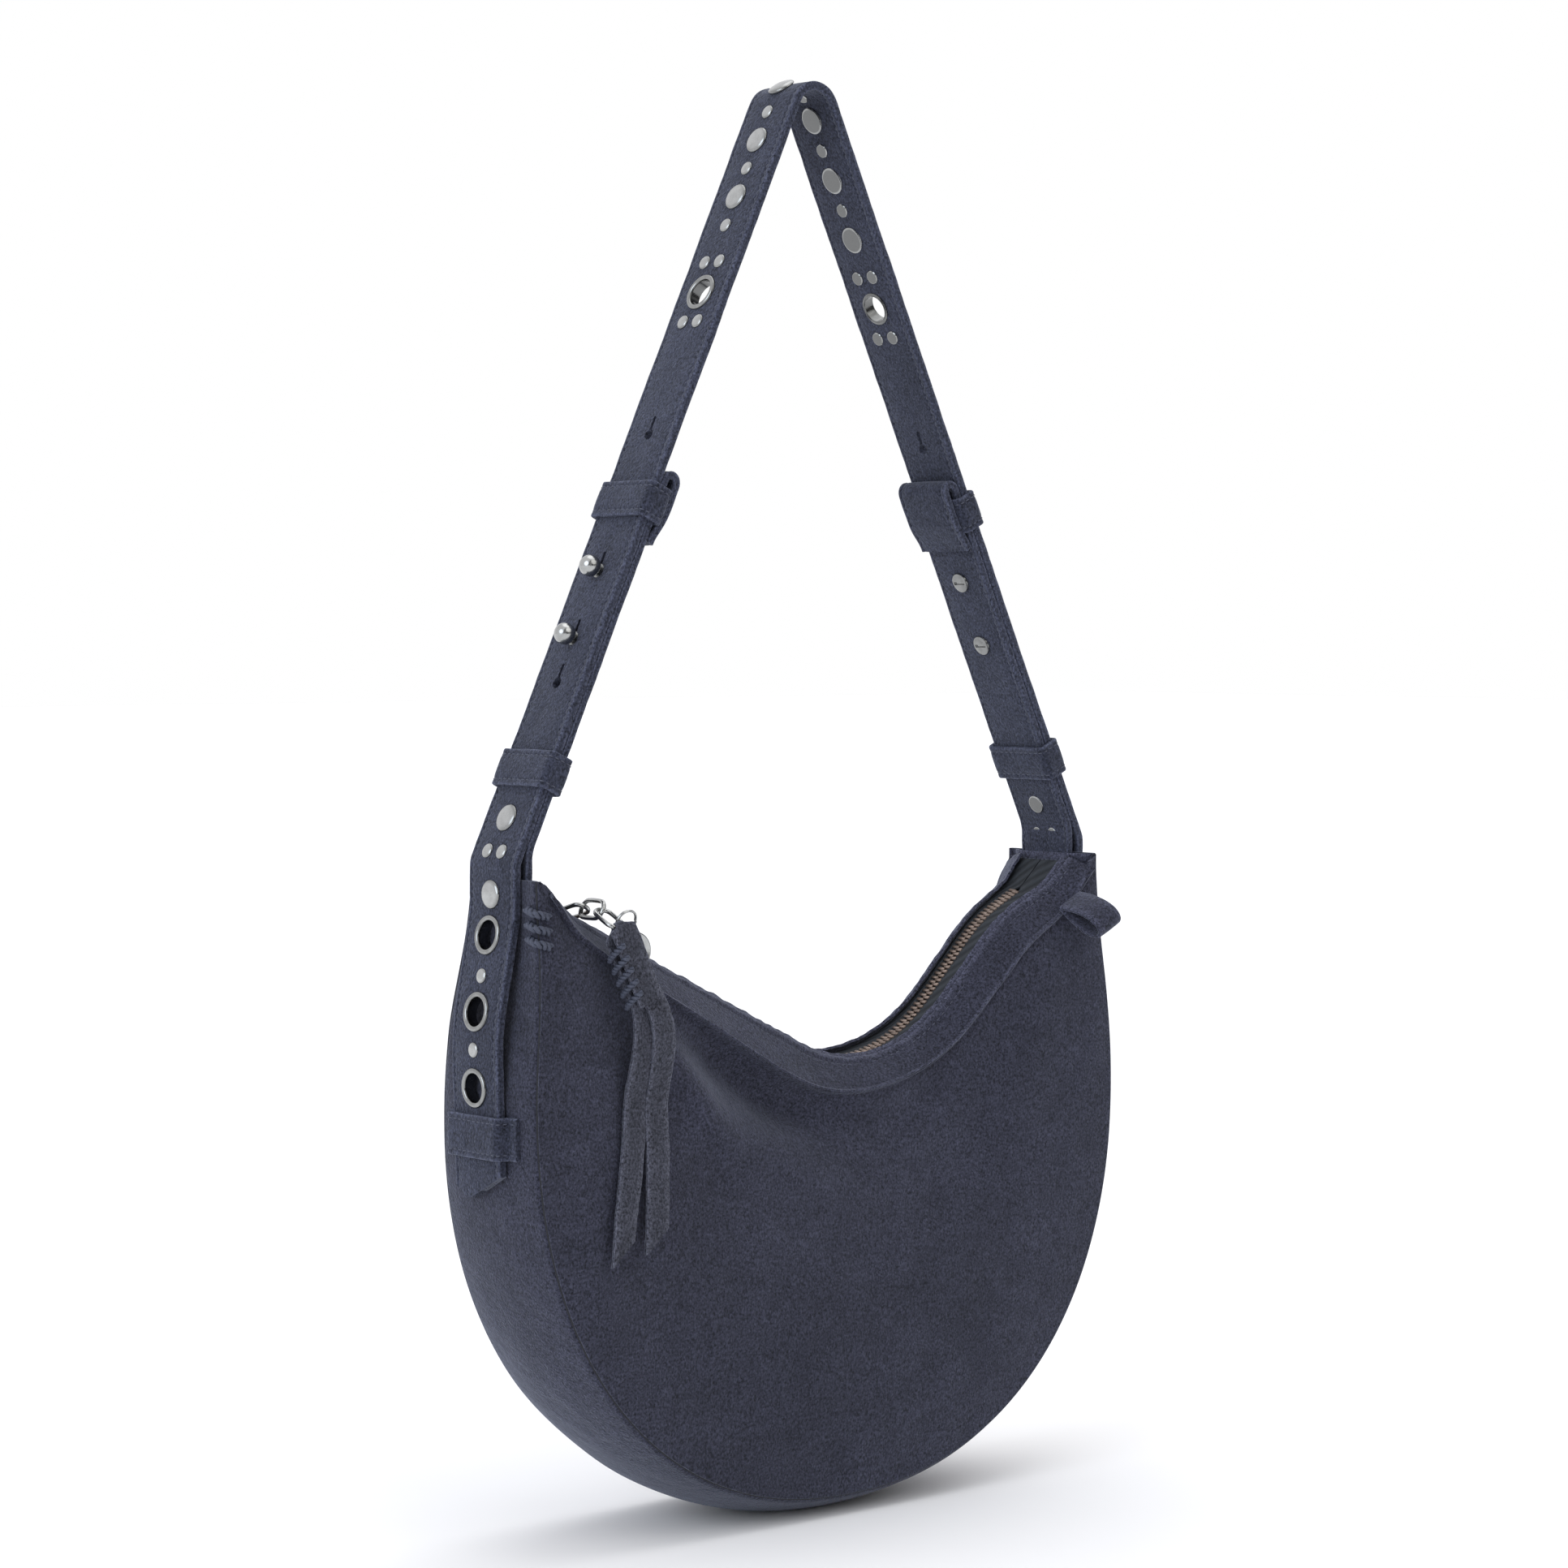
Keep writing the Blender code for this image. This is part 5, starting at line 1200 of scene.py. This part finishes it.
for word, sign, corners in (("left", -1, LEFT_TAIL), ("right", 1, RIGHT_TAIL)):
    course = Path(filleted(corners, (0.03, 0.03, 0.06, 0.08, 0.06)))
    line = []
    for step in range(49):
        spot = course.at(step / 48)
        in_head = HANG.y - math.tan(TILT) * (HANG.z - spot.y) - sign * 0.0011 - 0.0009
        resting = on_front(spot.x, spot.y) - 0.0024 - (0.0008 if sign > 0 else 0)
        down = eased((LEAVES_HEAD_Z - spot.y) / 0.045)
        line.append(Vector((spot.x, in_head + (resting - in_head) * down, spot.y)))
    for _ in range(6):
        trios = zip(line, line[1:], line[2:])
        line[1:-1] = [(before + here * 2 + after) / 4 for before, here, after in trios]
    tail = facing_front(Strip(line, (1, 0, 0), TAIL_WIDTH, TAIL_THICK), (0, -1, 0))
    tail_piece = tail.piece("tassel_tail_" + word + "_suede", 0.0018, waver=0.0003)
    end_x, end_z = corners[-1]
    for vert in tail_piece.data.vertices:
        slant = min(max((end_z + 0.03 - vert.co.z) / 0.03, 0), 1)
        vert.co.z += slant * (vert.co.x - end_x) * TAIL_SLANT
    dressed(smoothed(tail_piece, 50), TASSEL_SUEDE, "suede", "tassel", "tassel_tail_" + word)


CORD_TURNS = 3


def twisted(name, points, radius):
    """A cord of two strands laid round each other along the points."""
    line = Path(points)
    pieces = []
    for strand in range(2):
        winding = []
        for step in range(CORD_TURNS * 10 + 1):
            share = step / (CORD_TURNS * 10)
            spot, along = line.at(share), line.direction(share)
            across = along.cross(Vector((0.2, 0.3, 0.93))).normalized()
            up = along.cross(across)
            angle = 2 * math.pi * (share * CORD_TURNS + strand / 2)
            winding.append(spot + (across * math.cos(angle) + up * math.sin(angle)) * radius * 0.56)
        pieces.append(rod(name + str(strand), winding, radius * 0.53, 6))
    return smoothed(joined(name, pieces))


WHIP_THREAD = thread_finish("whip_thread", (0.062, 0.070, 0.102))
whips = []
for number in range(5):
    low = 0.0090 + number * 0.0050
    points = []
    for step in range(13):
        angle = math.pi * (step / 12 * 1.25 - 0.2)
        across = -HEAD_WIDTH / 2 + 0.0003 - 0.0011 * math.sin(angle)
        across += 0.0013 * max(math.cos(angle), -0.2) ** 2
        out = 0.0048 * math.cos(angle)
        points.append(tassel_place(across, out, low - 0.0024 * math.cos(angle)))
    whips.append(twisted("whip" + str(number), points, 0.0013))
dressed(joined("tassel_whip_stitches", whips), WHIP_THREAD, "suede", "tassel")


# ---- Shoulder strap -------------------------------------------------------------------------------------
# Two layers of suede glued and edge-stitched into one 30 mm strap. It hangs down outside each end of the bag
# as a pointed tail, is riveted through the end, and folds over at the top. Keyholes are punched for studs.
STRAP_WIDTH = 0.030
STRAP_THICK = 0.0036
FOOT_X = 0.1555
SWING_Z = 0.263
TIP_Z = 0.142
# the legs bend here and lean in, this much sideways for each metre up
BEND_Z = 0.276
LEAN = 0.464
STRAP_TOP = 0.594
STRAP_HALF = ((0.1625, TIP_Z), (0.1645, 0.208), (FOOT_X, 0.256), (FOOT_X, BEND_Z))
FOLD_PEAK = BEND_Z + FOOT_X / LEAN
FOLD_RADIUS = (FOLD_PEAK - STRAP_TOP) / (1 / math.sin(math.atan(LEAN)) - 1)
STITCH_IN = 0.0022
KEYHOLE_RADIUS = 0.0024
SLIT_LENGTH = 0.0085
PUNCH_LENGTH = 0.012
corners = STRAP_HALF + ((0, FOLD_PEAK),) + tuple((-x, z) for x, z in reversed(STRAP_HALF))
turns = (0.100, 0.020, 0.012, FOLD_RADIUS, 0.012, 0.020, 0.100)
strap_line = [(spot.x, 0, spot.y) for spot in filleted(corners, turns)]
strap = Strip(strap_line, (0, 1, 0), STRAP_WIDTH, STRAP_THICK)
facing_front(strap, (1, 0, 0))
half_line = Path(strap_line[: len(strap_line) // 2 + 1])
SWING_RUN = half_line.share_at(SWING_Z, 2) * half_line.length
STRAP_SUEDE = suede("strap_suede", (0.034, 0.038, 0.060))


def on_leg(side, distance):
    """(place, outward, upward) on the strap's outer face, this far up the leg from the swing axis."""
    spot, along, out = strap.at(SWING_RUN + distance)
    return [Vector((side * way.x, 0, way.z)) for way in (spot, out, along)]


def on_leg_at(side, z):
    return on_leg(side, half_line.share_at(z, 2) * half_line.length - SWING_RUN)


def punch(place, out, radius):
    nothing_chosen()
    bpy.ops.mesh.primitive_cylinder_add(vertices=28, radius=radius, depth=PUNCH_LENGTH)
    cutter = bpy.context.object
    cutter.data.transform(frame_at(place, (0, 1, 0), out))
    return cutter


def slit(place, out, up):
    cutter = bevelled_box((SLIT_LENGTH, 0.0015, PUNCH_LENGTH), 0.0004)
    cutter.data.transform(frame_at(place + up * SLIT_LENGTH / 2, up, out))
    return cutter


def cut_away(piece, cutters):
    """Cuts the punches out of the piece one after another."""
    for cutter in cutters:
        modifier = chosen(piece).modifiers.new("punch", "BOOLEAN")
        modifier.operation = "DIFFERENCE"
        modifier.object = cutter
        bpy.ops.object.modifier_apply(modifier=modifier.name)
        bpy.data.objects.remove(cutter, do_unlink=True)
    return piece


def tip_planes(side):
    """The two slanting cuts of a tail's point, as (spot, normal)."""
    tip = Vector((side * 0.1625, 0.0065, TIP_Z))
    long_edge = Vector((0, -0.0215, 0.011)).normalized()
    short_edge = Vector((0, 0.0085, 0.0055)).normalized()
    return (tip, Vector((0, -long_edge.z, long_edge.y))), (tip, Vector((0, short_edge.z, -short_edge.y)))


KEYHOLES_AT = (0.0900, 0.2005)
STUDS_AT = (0.1095, 0.1395)
EYELET_AT = 0.2655
TAIL_EYELETS_Z = (0.247, 0.217, 0.187)
PUNCHED_RADIUS = 0.0062


def tail_spot(side, z):
    spot, along, out = strap.at(half_line.share_at(z, 2) * half_line.length)
    return [Vector((side * way.x, 0, way.z)) for way in (spot, out)]


strap_piece = strap.piece("shoulder_strap_suede", 0.0016, groove=STITCH_IN, waver=0.00022)
punches = []
for side in (-1, 1):
    for spot, normal in tip_planes(side):
        if normal.z > 0:
            normal = -normal
        for vert in strap_piece.data.vertices:
            past = (vert.co - spot).dot(normal)
            if past > 0 and vert.co.z < 0.16 and vert.co.x * side > 0:
                vert.co.z -= past / normal.z
    for distance in KEYHOLES_AT + STUDS_AT:
        place, out, up = on_leg(side, distance)
        punches += [punch(place, out, KEYHOLE_RADIUS), slit(place, out, up)]
    place, out, up = on_leg(side, EYELET_AT)
    punches.append(punch(place, out, PUNCHED_RADIUS))
    for z in TAIL_EYELETS_Z:
        punches.append(punch(*tail_spot(side, z), PUNCHED_RADIUS))
cut_away(strap_piece, punches)
strap_nodes = ("shoulder_strap", "strap_tail_left", "strap_tail_right")
dressed(smoothed(strap_piece, 40), STRAP_SUEDE, "suede", None, *strap_nodes)
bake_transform(strap_piece)

spots = []
for inner in (False, True):
    spots += strap.edge_stitches(STITCH_IN, 0.012, strap.path.length - 0.012, inner=inner)
strap_stitches = stitch_row("strap_stitches", spots, lift=-0.00008)
dressed(strap_stitches, NAVY_THREAD, "suede", None)
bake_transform(strap_stitches)


# ---- Inner tabs -----------------------------------------------------------------------------------------
# A second strap at each end, sewn into the end pocket. It runs up inside the shoulder strap, carries the two
# studs, and folds back on itself at its top, where the fold holds the upper keeper.
TAB_THICK = 0.0032
TAB_GAP = 0.0003
TAB_TOP = 0.432
FOLD_HALF = TAB_THICK + 0.0014
FOLD_BACK = 0.026
FOLD_CLOSING = 0.0025


def tab_points():
    foot_x = FOOT_X - STRAP_THICK - LEATHER - 0.0006
    meet = (FOOT_X - foot_x - (STRAP_THICK + TAB_GAP) * math.hypot(1, LEAN)) / LEAN
    bend = (foot_x, BEND_Z + meet)
    rise = TAB_TOP - FOLD_HALF - bend[1]
    last = Vector((foot_x - LEAN * rise, bend[1] + rise))
    points = filleted([(foot_x, 0.250), bend, tuple(last)], [0.020])
    up = Vector((-LEAN, 1)).normalized()
    left = Vector((-up.y, up.x))
    middle = last + left * FOLD_HALF
    for step in range(1, 25):
        angle = math.pi * step / 24
        bulge = 1 + 0.12 * math.sin(angle)
        points.append(middle + (left * -math.cos(angle) + up * math.sin(angle) * 1.1) * FOLD_HALF * bulge)
    for step in range(1, 17):
        share = step / 16
        closing = FOLD_CLOSING * eased((share - 0.45) / 0.55)
        points.append(middle + left * (FOLD_HALF - closing) - up * FOLD_BACK * share)
    return points


for side, word in ((-1, "left"), (1, "right")):
    tab_line = [(side * spot.x, 0, spot.y) for spot in tab_points()]
    tab = facing_front(Strip(tab_line, (0, 1, 0), STRAP_WIDTH - 0.0006, TAB_THICK), (side, 0, 0))
    tab_piece = tab.piece("inner_tab_" + word + "_suede", 0.0012, groove=STITCH_IN, waver=0.0002)
    dressed(smoothed(tab_piece, 40), STRAP_SUEDE, "suede", None, "inner_tab_" + word)
    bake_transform(tab_piece)
    end = tab.path.length
    spots = []
    for across in (-1, 1):
        edge = across * (STRAP_WIDTH / 2 - STITCH_IN - 0.0003)
        spots += tab.stitches(edge, 0.022, end - FOLD_BACK - 0.014, inner=True)
        spots += tab.stitches(edge, end - FOLD_BACK + 0.002, end - 0.001)
    spot, along, out = tab.at(end - 0.0025)
    for number in range(8):
        spots.append((spot + tab.widthways * (number - 3.5) * 0.0032, tab.widthways, out))
    tab_stitches = stitch_row("inner_tab_" + word + "_stitches", spots, lift=-0.00005)
    dressed(tab_stitches, NAVY_THREAD, "suede", None)
    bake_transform(tab_stitches)


# ---- Keepers --------------------------------------------------------------------------------------------
# Rings of suede round the strap and the tab, closed by a lap at the back: the upper one is trapped in the
# tab's fold, the lower one slides.
KEEPER_HEIGHT = 0.0155
KEEPER_WALL = 0.0019
BOTH = STRAP_THICK + TAB_GAP + TAB_THICK


def round_loop(wide, deep, corner, steps=6):
    """A rounded rectangle about the origin, once round, ending where it starts."""
    points = []
    for sign_x, sign_y, first in ((1, 1, 0), (-1, 1, 1), (-1, -1, 2), (1, -1, 3)):
        for step in range(steps + 1):
            angle = math.pi / 2 * (first + step / steps)
            x = sign_x * (wide / 2 - corner) + corner * math.cos(angle)
            points.append((x, sign_y * (deep / 2 - corner) + corner * math.sin(angle)))
    return points + points[:1]


for side, word in ((-1, "left"), (1, "right")):
    for level, z, body in (("upper", 0.4195, "strap"), ("lower", 0.312, "lower_keeper_" + word)):
        place, out, up = on_leg_at(side, z)
        middle = place - out * BOTH / 2
        wide, deep = STRAP_WIDTH + 0.0010 + 2 * KEEPER_WALL, BOTH + 0.0008 + 2 * KEEPER_WALL
        loop = [middle + Vector((0, y, 0)) + out * depth for y, depth in round_loop(wide, deep, 0.0026)]
        keeper = Strip(loop, up, KEEPER_HEIGHT, KEEPER_WALL)
        outward = keeper.at(0.001)[2]
        keeper.out_sign = 1 if outward.dot(Vector((0, 1, 0))) > 0 else -1
        name = level + "_keeper_" + word
        ring_piece = keeper.piece(name + "_suede", 0.0011, groove=0.0024, waver=0.00018, closed=True)
        dressed(smoothed(ring_piece, 40), STRAP_SUEDE, "suede", body, name)
        spots = keeper.edge_stitches(0.0024, 0, keeper.path.length, pitch=0.003)
        dressed(stitch_row(name + "_stitches", spots, lift=-0.00008), NAVY_THREAD, "suede", body)


# ---- Gusset loops ---------------------------------------------------------------------------------------
# A bridge of suede sewn to the gusset at each end, which holds the strap's tail down.
LOOP_Z = 0.168
LOOP_HEIGHT = 0.017


def gusset_out(z, y):
    """How far out in X the gusset's outer face is at this height and depth, up the side."""
    right = SEAM.points[len(SEAM.points) // 2 :]
    share = y / (half_depth(z) - 0.0012)
    return float(np.interp(z, right[:, 1], right[:, 0])) + gusset_bulge(z) * (1 - share**2)


for side, word in ((-1, "left"), (1, "right")):
    place, out = tail_spot(side, LOOP_Z)
    top = abs(place.x) + 0.0005 + LEATHER
    wall = gusset_out(LOOP_Z, 0.018) + LEATHER
    corners = [(wall - 0.0003, -0.0225), (wall, -0.0178), (top, -0.0168)]
    corners += [(across, -y) for across, y in reversed(corners)]
    bent = filleted(corners, (0.0012, 0.0022, 0.0022, 0.0012))
    bridge = Strip([(side * spot.x, spot.y, LOOP_Z) for spot in bent], (0, 0, 1), LOOP_HEIGHT, LEATHER)
    outward = bridge.at(bridge.path.length / 2)[2]
    bridge.out_sign = 1 if outward.x * side > 0 else -1
    name = "gusset_loop_" + word
    bridge_piece = bridge.piece(name + "_suede", 0.0011, groove=0.0024, waver=0.00018)
    dressed(smoothed(bridge_piece, 40), STRAP_SUEDE, "suede", "bag", name)
    spots = bridge.edge_stitches(0.0024, 0.001, bridge.path.length - 0.001)
    dressed(stitch_row(name + "_stitches", spots, lift=-0.00008), NAVY_THREAD, "suede", "bag")


# ---- End facings ----------------------------------------------------------------------------------------
# A patch of suede inside each end, sewn along the top, that closes the pocket where the tab goes in and hides
# the end of the zip.
FACING_X = 0.1451
FACING_LOW, FACING_TOP = 0.2405, 0.2687


def end_facing_place(side):
    def place(across, up):
        at_back = (2 * across - 1) * side < 0
        half = (0.0228 if side > 0 else 0.0180) if at_back else (0.0250 if side > 0 else 0.0235)
        y = (2 * across - 1) * half * (0.80 + 0.20 * up**0.6)
        z = FACING_LOW + (FACING_TOP - FACING_LOW) * up
        round_low = (1 - up) ** 2 * (2 * across - 1) ** 4
        hug = abs(2 * across - 1) ** 5
        x = FACING_X + 0.0052 * hug - 0.0006 * math.sin(up * math.pi)
        return Vector((side * x, -side * y, z + 0.006 * round_low))

    return place


for side, word in ((-1, "left"), (1, "right")):
    place = end_facing_place(side)
    patch = thickened(new_sheet("end_facing_" + word + "_suede", 48, 20, place, edge_wear), 0.0013)
    dressed(smoothed(patch), NAVY_SUEDE, "suede", "bag", "end_facing_" + word)
    row = [on_sheet(place, (number + 0.5) / 17, 0.88) for number in range(1, 16)]
    spots = [(spot, along, Vector((-side, 0, 0))) for spot, along, _ in row]
    dressed(stitch_row("end_facing_" + word + "_stitches", spots, lift=0.0002), NAVY_THREAD, "suede", "bag")


# ---- Side loop ------------------------------------------------------------------------------------------
# A narrow strip folded in half to a drop-shaped loop, with its ends sewn under the front band at the right.
seat = Vector((0.1335, -0.0290, 0.2490))
loop_across = Vector((0.89, 0, 0.45)).normalized()
loop_way = Vector((0.30, -0.86, -0.42))
loop_way = (loop_way - loop_across * loop_way.dot(loop_across)).normalized()
loop_rise = loop_way.cross(loop_across)
drop_line = []
for step in range(49):
    angle = -math.pi + 2 * math.pi * step / 48
    reach = 0.0118 * (1 + math.cos(angle))
    height = 0.0053 * math.sin(angle) * (0.5 + 0.5 * math.cos(angle)) ** 0.55 * 1.25
    ends_apart = 0.0010 * math.copysign(1, angle or 1) * (1 - reach / 0.0236)
    drop_line.append(seat + loop_way * reach + loop_rise * (height + ends_apart))
side_loop = Strip(drop_line, loop_across, 0.014, 0.0017)
outward = side_loop.at(side_loop.path.length / 2)[2]
side_loop.out_sign = 1 if outward.dot(loop_way) > 0 else -1
loop_piece = side_loop.piece("side_loop_suede", 0.0008, waver=0.00015)
dressed(smoothed(loop_piece, 50), NAVY_SUEDE, "suede", "bag", "side_loop_tab")


# ---- Whip stitches --------------------------------------------------------------------------------------
# Three thick two-strand stitches across the front seam at the left end, where it takes the strap's pull.
def outside_at(front_share, reach):
    """A spot this reach from the left front seam: positive on the panel, negative on the gusset."""
    spot = near_seam(front_share, 0)
    if reach > 0:
        inner = near_seam(front_share, reach)
        return Vector((inner.x, -seam_depth(inner.x, inner.y, -1) - 0.0004, inner.y))
    outer = near_seam(front_share, -0.0006)
    return Vector((outer.x, -seam_depth(outer.x, outer.y, -1) + 0.0005 - reach, outer.y))


seam_whips = []
for number, z in enumerate((0.2565, 0.2507, 0.2450)):
    share = (END_TOP - z) / SEAM.length
    points = []
    for step in range(13):
        reach = -0.0058 + 0.0112 * step / 12
        spot = outside_at(share, reach)
        lift = 0.0007 * math.sin(math.pi * step / 12)
        slant = -0.0016 * (step / 12 - 0.5) * 2
        points.append(spot + Vector((-lift, -lift, slant)))
    seam_whips.append(twisted("seam_whip" + str(number), points, 0.0017))
dressed(joined("seam_whip_stitches", seam_whips), WHIP_THREAD, "suede", "bag")


# ---- Rivets, eyelets and studs --------------------------------------------------------------------------
# Bought-in metal in satin antique nickel: domed caps with a flat back cap, rolled eyelets, and ball studs
# screwed through the tab from behind with a slotted back.
CAP_RADIUS = 0.0058
CAP_RISE = 0.0019
RIVET_PITCH = 0.0133
SMALL_RADIUS = 0.0031
BACK_GAP = 0.0003


def domed_cap(radius, rise, depth, post, back_radius):
    back = -depth - BACK_GAP
    outline = [(0, rise)]
    for step in range(1, 9):
        angle = math.pi / 2 * step / 8
        outline.append((radius * math.sin(angle) ** 0.9, rise * (0.18 + 0.82 * math.cos(angle))))
    outline += [(radius * 0.99, rise * 0.05), (radius * 0.93, 0.0), (post, 0.0001), (post, back)]
    outline += [(back_radius * 0.96, back), (back_radius, back - 0.0002), (back_radius * 0.92, back - 0.0005)]
    outline += [(back_radius * 0.84, back - 0.0005), (back_radius * 0.3, back - 0.0006), (0, back - 0.0006)]
    return outline


def painted_shade(shape, darkness):
    """Marks painted shade on a spun metal part, by the distance from the middle and the height."""
    mark = shape.data.attributes.new("painted_shade", "FLOAT", "POINT")
    spots = [(math.hypot(vert.co.x, vert.co.y), vert.co.z) for vert in shape.data.vertices]
    mark.data.foreach_set("value", [darkness(*spot) for spot in spots])
    return shape


def cap_shade(radius, back_radius):
    # Painted shade: the dome darkens toward its rim, and the back cap is dark but for its edge.
    def darkness(out, height):
        if height < 0:
            return 0.3 if out > back_radius * 0.9 else 1.0
        return min(max(out / radius - 0.72, 0) / 0.28, 1) * 0.75

    return darkness


def cap(name, radius, rise, depth, post, back_radius, steps=40):
    outline = domed_cap(radius, rise, depth, post, back_radius)
    return painted_shade(spun(name, outline, steps), cap_shade(radius, back_radius))


def set_in(name, shape, place, out, body, *nodes):
    """A copy of the shape, with its own mesh, standing out of the leather here."""
    piece = shape.copy()
    piece.data = shape.data.copy()
    piece.name = piece.data.name = name
    bpy.context.collection.objects.link(piece)
    piece.data.transform(frame_at(place, (0, 1, 0), out))
    return dressed(piece, NICKEL, "nickel", body, *nodes)


def put_away(*shapes):
    for shape in shapes:
        bpy.data.objects.remove(shape, do_unlink=True)


HALF_RUN = half_line.length - SWING_RUN
thin_cap = cap("thin_cap", CAP_RADIUS, CAP_RISE, STRAP_THICK, 0.0013, 0.0042)
wide_cap = cap("wide_cap", CAP_RADIUS, CAP_RISE, STRAP_THICK, 0.0013, 0.0057)
thick_cap = cap("thick_cap", CAP_RADIUS, CAP_RISE, BOTH, 0.0013, 0.0042)
foot_cap = cap("foot_cap", CAP_RADIUS, CAP_RISE, BOTH + LEATHER, 0.0013, 0.0042)
for side, word, steps in ((-1, "left", (0.5, 2.5, 4.5)), (1, "right", (1.5, 3.5, 5.5))):
    for label, distance, shape in (("foot", 0, foot_cap), ("low", 0.0315, thick_cap)):
        place, out, up = on_leg(side, distance)
        name = f"cap_rivet_{word}_{label}"
        set_in(name + "_metal", shape, place + out * 0.0001, out, "strap", name)
    for label, step in zip(("top", "high", "middle"), steps):
        place, out, up = on_leg(side, HALF_RUN - RIVET_PITCH * step)
        name = f"cap_rivet_{word}_{label}"
        shape = thin_cap if step < 1 else wide_cap
        set_in(name + "_metal", shape, place + out * 0.0001, out, "strap", name)
put_away(thin_cap, wide_cap, thick_cap, foot_cap)

small_cap = cap("small_cap", SMALL_RADIUS, 0.0012, STRAP_THICK, 0.0009, 0.0030, 24)
small_thick = cap("small_thick", SMALL_RADIUS, 0.0012, BOTH, 0.0009, 0.0030, 24)
for side, word, steps in ((-1, "left", (1.5, 3.5, 5.5)), (1, "right", (0.5, 2.5, 4.5))):
    singles = [(HALF_RUN - RIVET_PITCH * step, 0) for step in steps]
    pairs = [(distance, across) for distance in (0.2520, 0.2795) for across in (-0.0047, 0.0047)]
    for number, (distance, across) in enumerate(singles + pairs):
        place, out, up = on_leg(side, distance)
        spot = place + Vector((0, across, 0)) + out * 0.0001
        set_in(f"small_rivet_{word}_{number}_metal", small_cap, spot, out, "strap")
    for number, across in enumerate((-0.0047, 0.0047)):
        place, out, up = on_leg(side, 0.0172)
        spot = place + Vector((0, across, 0)) + out * 0.0001
        set_in(f"small_rivet_{word}_low_{number}_metal", small_thick, spot, out, "strap")
    for number, z in enumerate((0.231, 0.202)):
        place, out = tail_spot(side, z)
        set_in(f"small_rivet_{word}_tail_{number}_metal", small_cap, place + out * 0.0001, out, "bag")
put_away(small_cap, small_thick)

LIP = 0.0011
EYELET_INSIDE = 0.0061
BEHIND = -STRAP_THICK
eyelet_outline = []
for step in range(13):
    angle = math.pi * (1 - step / 12)
    eyelet_outline.append((0.00685 + 0.00115 * math.cos(angle), 0.0001 + LIP * math.sin(angle) ** 0.8))
eyelet_outline += [(0.0078, -0.0001), (EYELET_INSIDE, -0.0001), (EYELET_INSIDE, BEHIND - 0.0001)]
eyelet_outline += [(0.0070, BEHIND - 0.0001), (0.0071, BEHIND - 0.0005), (0.0062, BEHIND - 0.0009)]
eyelet_outline += [(0.0057, BEHIND - 0.0006)]
# Painted shade: the eyelet is half dark on the top of its rolled lip and nearly fully dark everywhere else.
eyelet = painted_shade(spun("eyelet", eyelet_outline, 48), lambda out, height: 0.5 if height > 0.0009 else 0.95)
for side, word in ((-1, "left"), (1, "right")):
    place, out, up = on_leg(side, EYELET_AT)
    set_in(f"eyelet_{word}_high_metal", eyelet, place, out, "strap", f"eyelet_{word}_high")
    for label, z in zip(("top", "middle", "low"), TAIL_EYELETS_Z):
        place, out = tail_spot(side, z)
        set_in(f"eyelet_{word}_{label}_metal", eyelet, place, out, "bag", f"eyelet_{word}_{label}")
put_away(eyelet)

BALL_RADIUS = 0.0044
ball_middle = 0.0008 + BALL_RADIUS * 0.9
stud_outline = []
for step in range(15):
    angle = math.pi / 2 - math.radians(138) * step / 14
    stud_outline.append((BALL_RADIUS * math.cos(angle), ball_middle + BALL_RADIUS * math.sin(angle)))
stud_back = -BOTH - BACK_GAP
stud_outline += [(0.0019, 0.0005), (0.0030, 0.0001), (0.0030, -0.0002), (0.0019, -0.0003)]
stud_outline.append((0.0019, stud_back))
stud_outline += [(0.0043, stud_back), (0.0045, stud_back - 0.0003), (0.0043, stud_back - 0.0009)]
stud_outline += [(0.0037, stud_back - 0.0012), (0, stud_back - 0.0012)]
stud = spun("stud", stud_outline, 40)
slot_cutter = bevelled_box((0.0062, 0.0013, 0.0014), 0.0001)
slot_cutter.data.transform(Matrix.Translation((0, 0, stud_back - 0.0012)))
smoothed(cut_away(stud, [slot_cutter]), 40)
# Painted shade: the ball stays bright on top and is darkened down its sides and at its back.
painted_shade(stud, lambda out, height: 0.1 if height > 0.0015 else 0.65)
for side, word in ((-1, "left"), (1, "right")):
    for label, distance in zip(("lower", "upper"), STUDS_AT):
        place, out, up = on_leg(side, distance)
        name = f"ball_stud_{word}_{label}"
        set_in(name + "_metal", stud, place, out, "strap", name)
put_away(stud)
